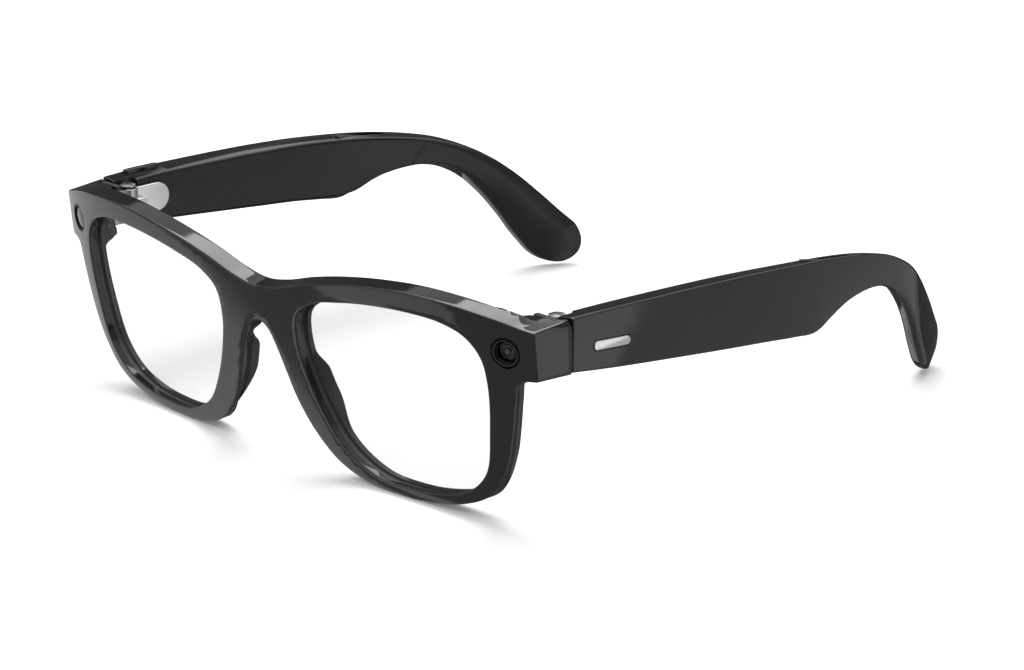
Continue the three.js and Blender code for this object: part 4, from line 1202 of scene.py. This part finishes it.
# Softboxes of the studio: turn to the left of -Y and height above the horizon, both in degrees,
# then brightness, and the softness of the edges in degrees.
SOFTBOXES = [
    ((108, 132.5), (-60, 32), 0.08, 1.0),
    ((132.5, 178), (-60, 18), 0.08, 1.0),
    ((56, 112), (-60, 14), 1.0, 1.5),
    ((42.5, 48.8), (-60, 12), 1.1, 0.3),
    ((25, 48.8), (-27.5, 12), 1.0, 1.0),
    ((96, 132.5), (33.5, 70), 0.75, 0.6),
    ((132.5, 178), (19.5, 60), 1.0, 0.6),
    ((-131, -96), (-60, 10), 1.15, 1.5),
    ((-178, -131), (-60, 10), 0.5, 1.5),
]
AMBIENT = {"low": 0.3, "high": 1.05, "from": 26.0, "to": 40.0}


def studio_world():
    """Soft surroundings: a bright ceiling, a dim floor level and a few large softboxes."""
    world = bpy.data.worlds.new("studio")
    bpy.context.scene.world = world
    world.use_nodes = True
    nodes, links = world.node_tree.nodes, world.node_tree.links
    place = nodes.new("ShaderNodeTexCoord")
    axes = nodes.new("ShaderNodeSeparateXYZ")
    links.new(place.outputs["Generated"], axes.inputs["Vector"])
    back = nodes.new("ShaderNodeMath")
    back.operation = "MULTIPLY"
    back.inputs[1].default_value = -1
    links.new(axes.outputs["X"], back.inputs[0])
    front = nodes.new("ShaderNodeMath")
    front.operation = "MULTIPLY"
    front.inputs[1].default_value = -1
    links.new(axes.outputs["Y"], front.inputs[0])
    turn = nodes.new("ShaderNodeMath")
    turn.operation = "ARCTAN2"
    links.new(back.outputs["Value"], turn.inputs[0])
    links.new(front.outputs["Value"], turn.inputs[1])
    rise = nodes.new("ShaderNodeMath")
    rise.operation = "ARCSINE"
    links.new(axes.outputs["Z"], rise.inputs[0])
    base = nodes.new("ShaderNodeMapRange")
    base.interpolation_type = "SMOOTHSTEP"
    base.inputs["From Min"].default_value = math.radians(AMBIENT["from"])
    base.inputs["From Max"].default_value = math.radians(AMBIENT["to"])
    base.inputs["To Min"].default_value = AMBIENT["low"]
    base.inputs["To Max"].default_value = AMBIENT["high"]
    links.new(rise.outputs["Value"], base.inputs["Value"])
    level = base.outputs["Result"]
    for turns, rises, brightness, edge in SOFTBOXES:
        mask = nodes.new("ShaderNodeMath")
        mask.operation = "MULTIPLY"
        links.new(soft_window(nodes, links, turn.outputs["Value"], *turns, edge), mask.inputs[0])
        links.new(soft_window(nodes, links, rise.outputs["Value"], *rises, edge), mask.inputs[1])
        mix = nodes.new("ShaderNodeMix")
        links.new(mask.outputs["Value"], mix.inputs["Factor"])
        links.new(level, mix.inputs["A"])
        mix.inputs["B"].default_value = brightness
        level = mix.outputs["Result"]
    links.new(level, nodes["Background"].inputs["Strength"])
    nodes["Background"].inputs["Color"].default_value = (1, 1, 1, 1)


def overhead_light():
    """A large soft light above and behind the object on the left, for the contact shadows."""
    light = bpy.data.lights.new("overhead", "AREA")
    light.shape = "RECTANGLE"
    light.size, light.size_y = 1.2, 1.2
    light.energy = 20
    lamp = bpy.data.objects.new("overhead", light)
    lamp.location = (-0.5, 0.35, 1.6)
    lamp.rotation_euler = (Vector(lamp.location)).to_track_quat("Z", "Y").to_euler()
    bpy.context.scene.collection.objects.link(lamp)


def camera():
    data = bpy.data.cameras.new("camera")
    data.lens = LENS_LENGTH
    data.clip_start = 0.01
    eye = bpy.data.objects.new("camera", data)
    level = math.cos(CAMERA_RISE)
    back = Vector((math.sin(CAMERA_TURN) * level, -math.cos(CAMERA_TURN) * level, math.sin(CAMERA_RISE)))
    target = Vector(((CAMERA_TARGET + SHIFT) / 1000).tolist())
    eye.location = target + back * (CAMERA_DISTANCE / 1000)
    eye.rotation_euler = back.to_track_quat("Z", "Y").to_euler()
    bpy.context.scene.collection.objects.link(eye)
    bpy.context.scene.camera = eye


# ------------------------------------------------------------------ assembly

HIDDEN_FINISH = {
    "front_flex_cable": "flex_cable", "right_touch_sensor": "flex_cable",
    "nose_microphone": "satin_black", "left_temple_microphone": "satin_black",
    "camera_module": "satin_black",
    "left_speaker": "satin_black", "right_speaker": "satin_black", "right_tact_switch": "satin_black",
    "capture_light_board": "board", "left_power_board": "board", "right_main_board": "board",
    "left_battery": "cell", "right_processor_shield": "cell",
}


def finish_carried_nodes():
    """The CAD pieces inside the casings keep their shape and get their real material."""
    for node, material in HIDDEN_FINISH.items():
        mesh = frame["nodes"][node].data
        mesh.materials.clear()
        mesh.materials.append(MATERIALS[material])


def main():
    camera()
    studio_floor()
    studio_world()
    overhead_light()
    bpy.context.scene.view_settings.view_transform = "Standard"
    front_frame()
    camera_bezel()
    camera_glass()
    camera_barrel()
    capture_light()
    capture_button()
    power_switch()
    for name, side in SIDES:
        lens(name, side)
        nose_pad(name, side)
        end_cover(name, side)
        charge_contact(name, side)
        hinge_front_leaf(name, side)
        hinge_temple_leaf(name, side)
        hinge_screw(name, side)
        temple_housing(name, side)
        temple_cover(name, side)
        badge(name, side)
        speaker_grille(name, side)
    finish_carried_nodes()


main()
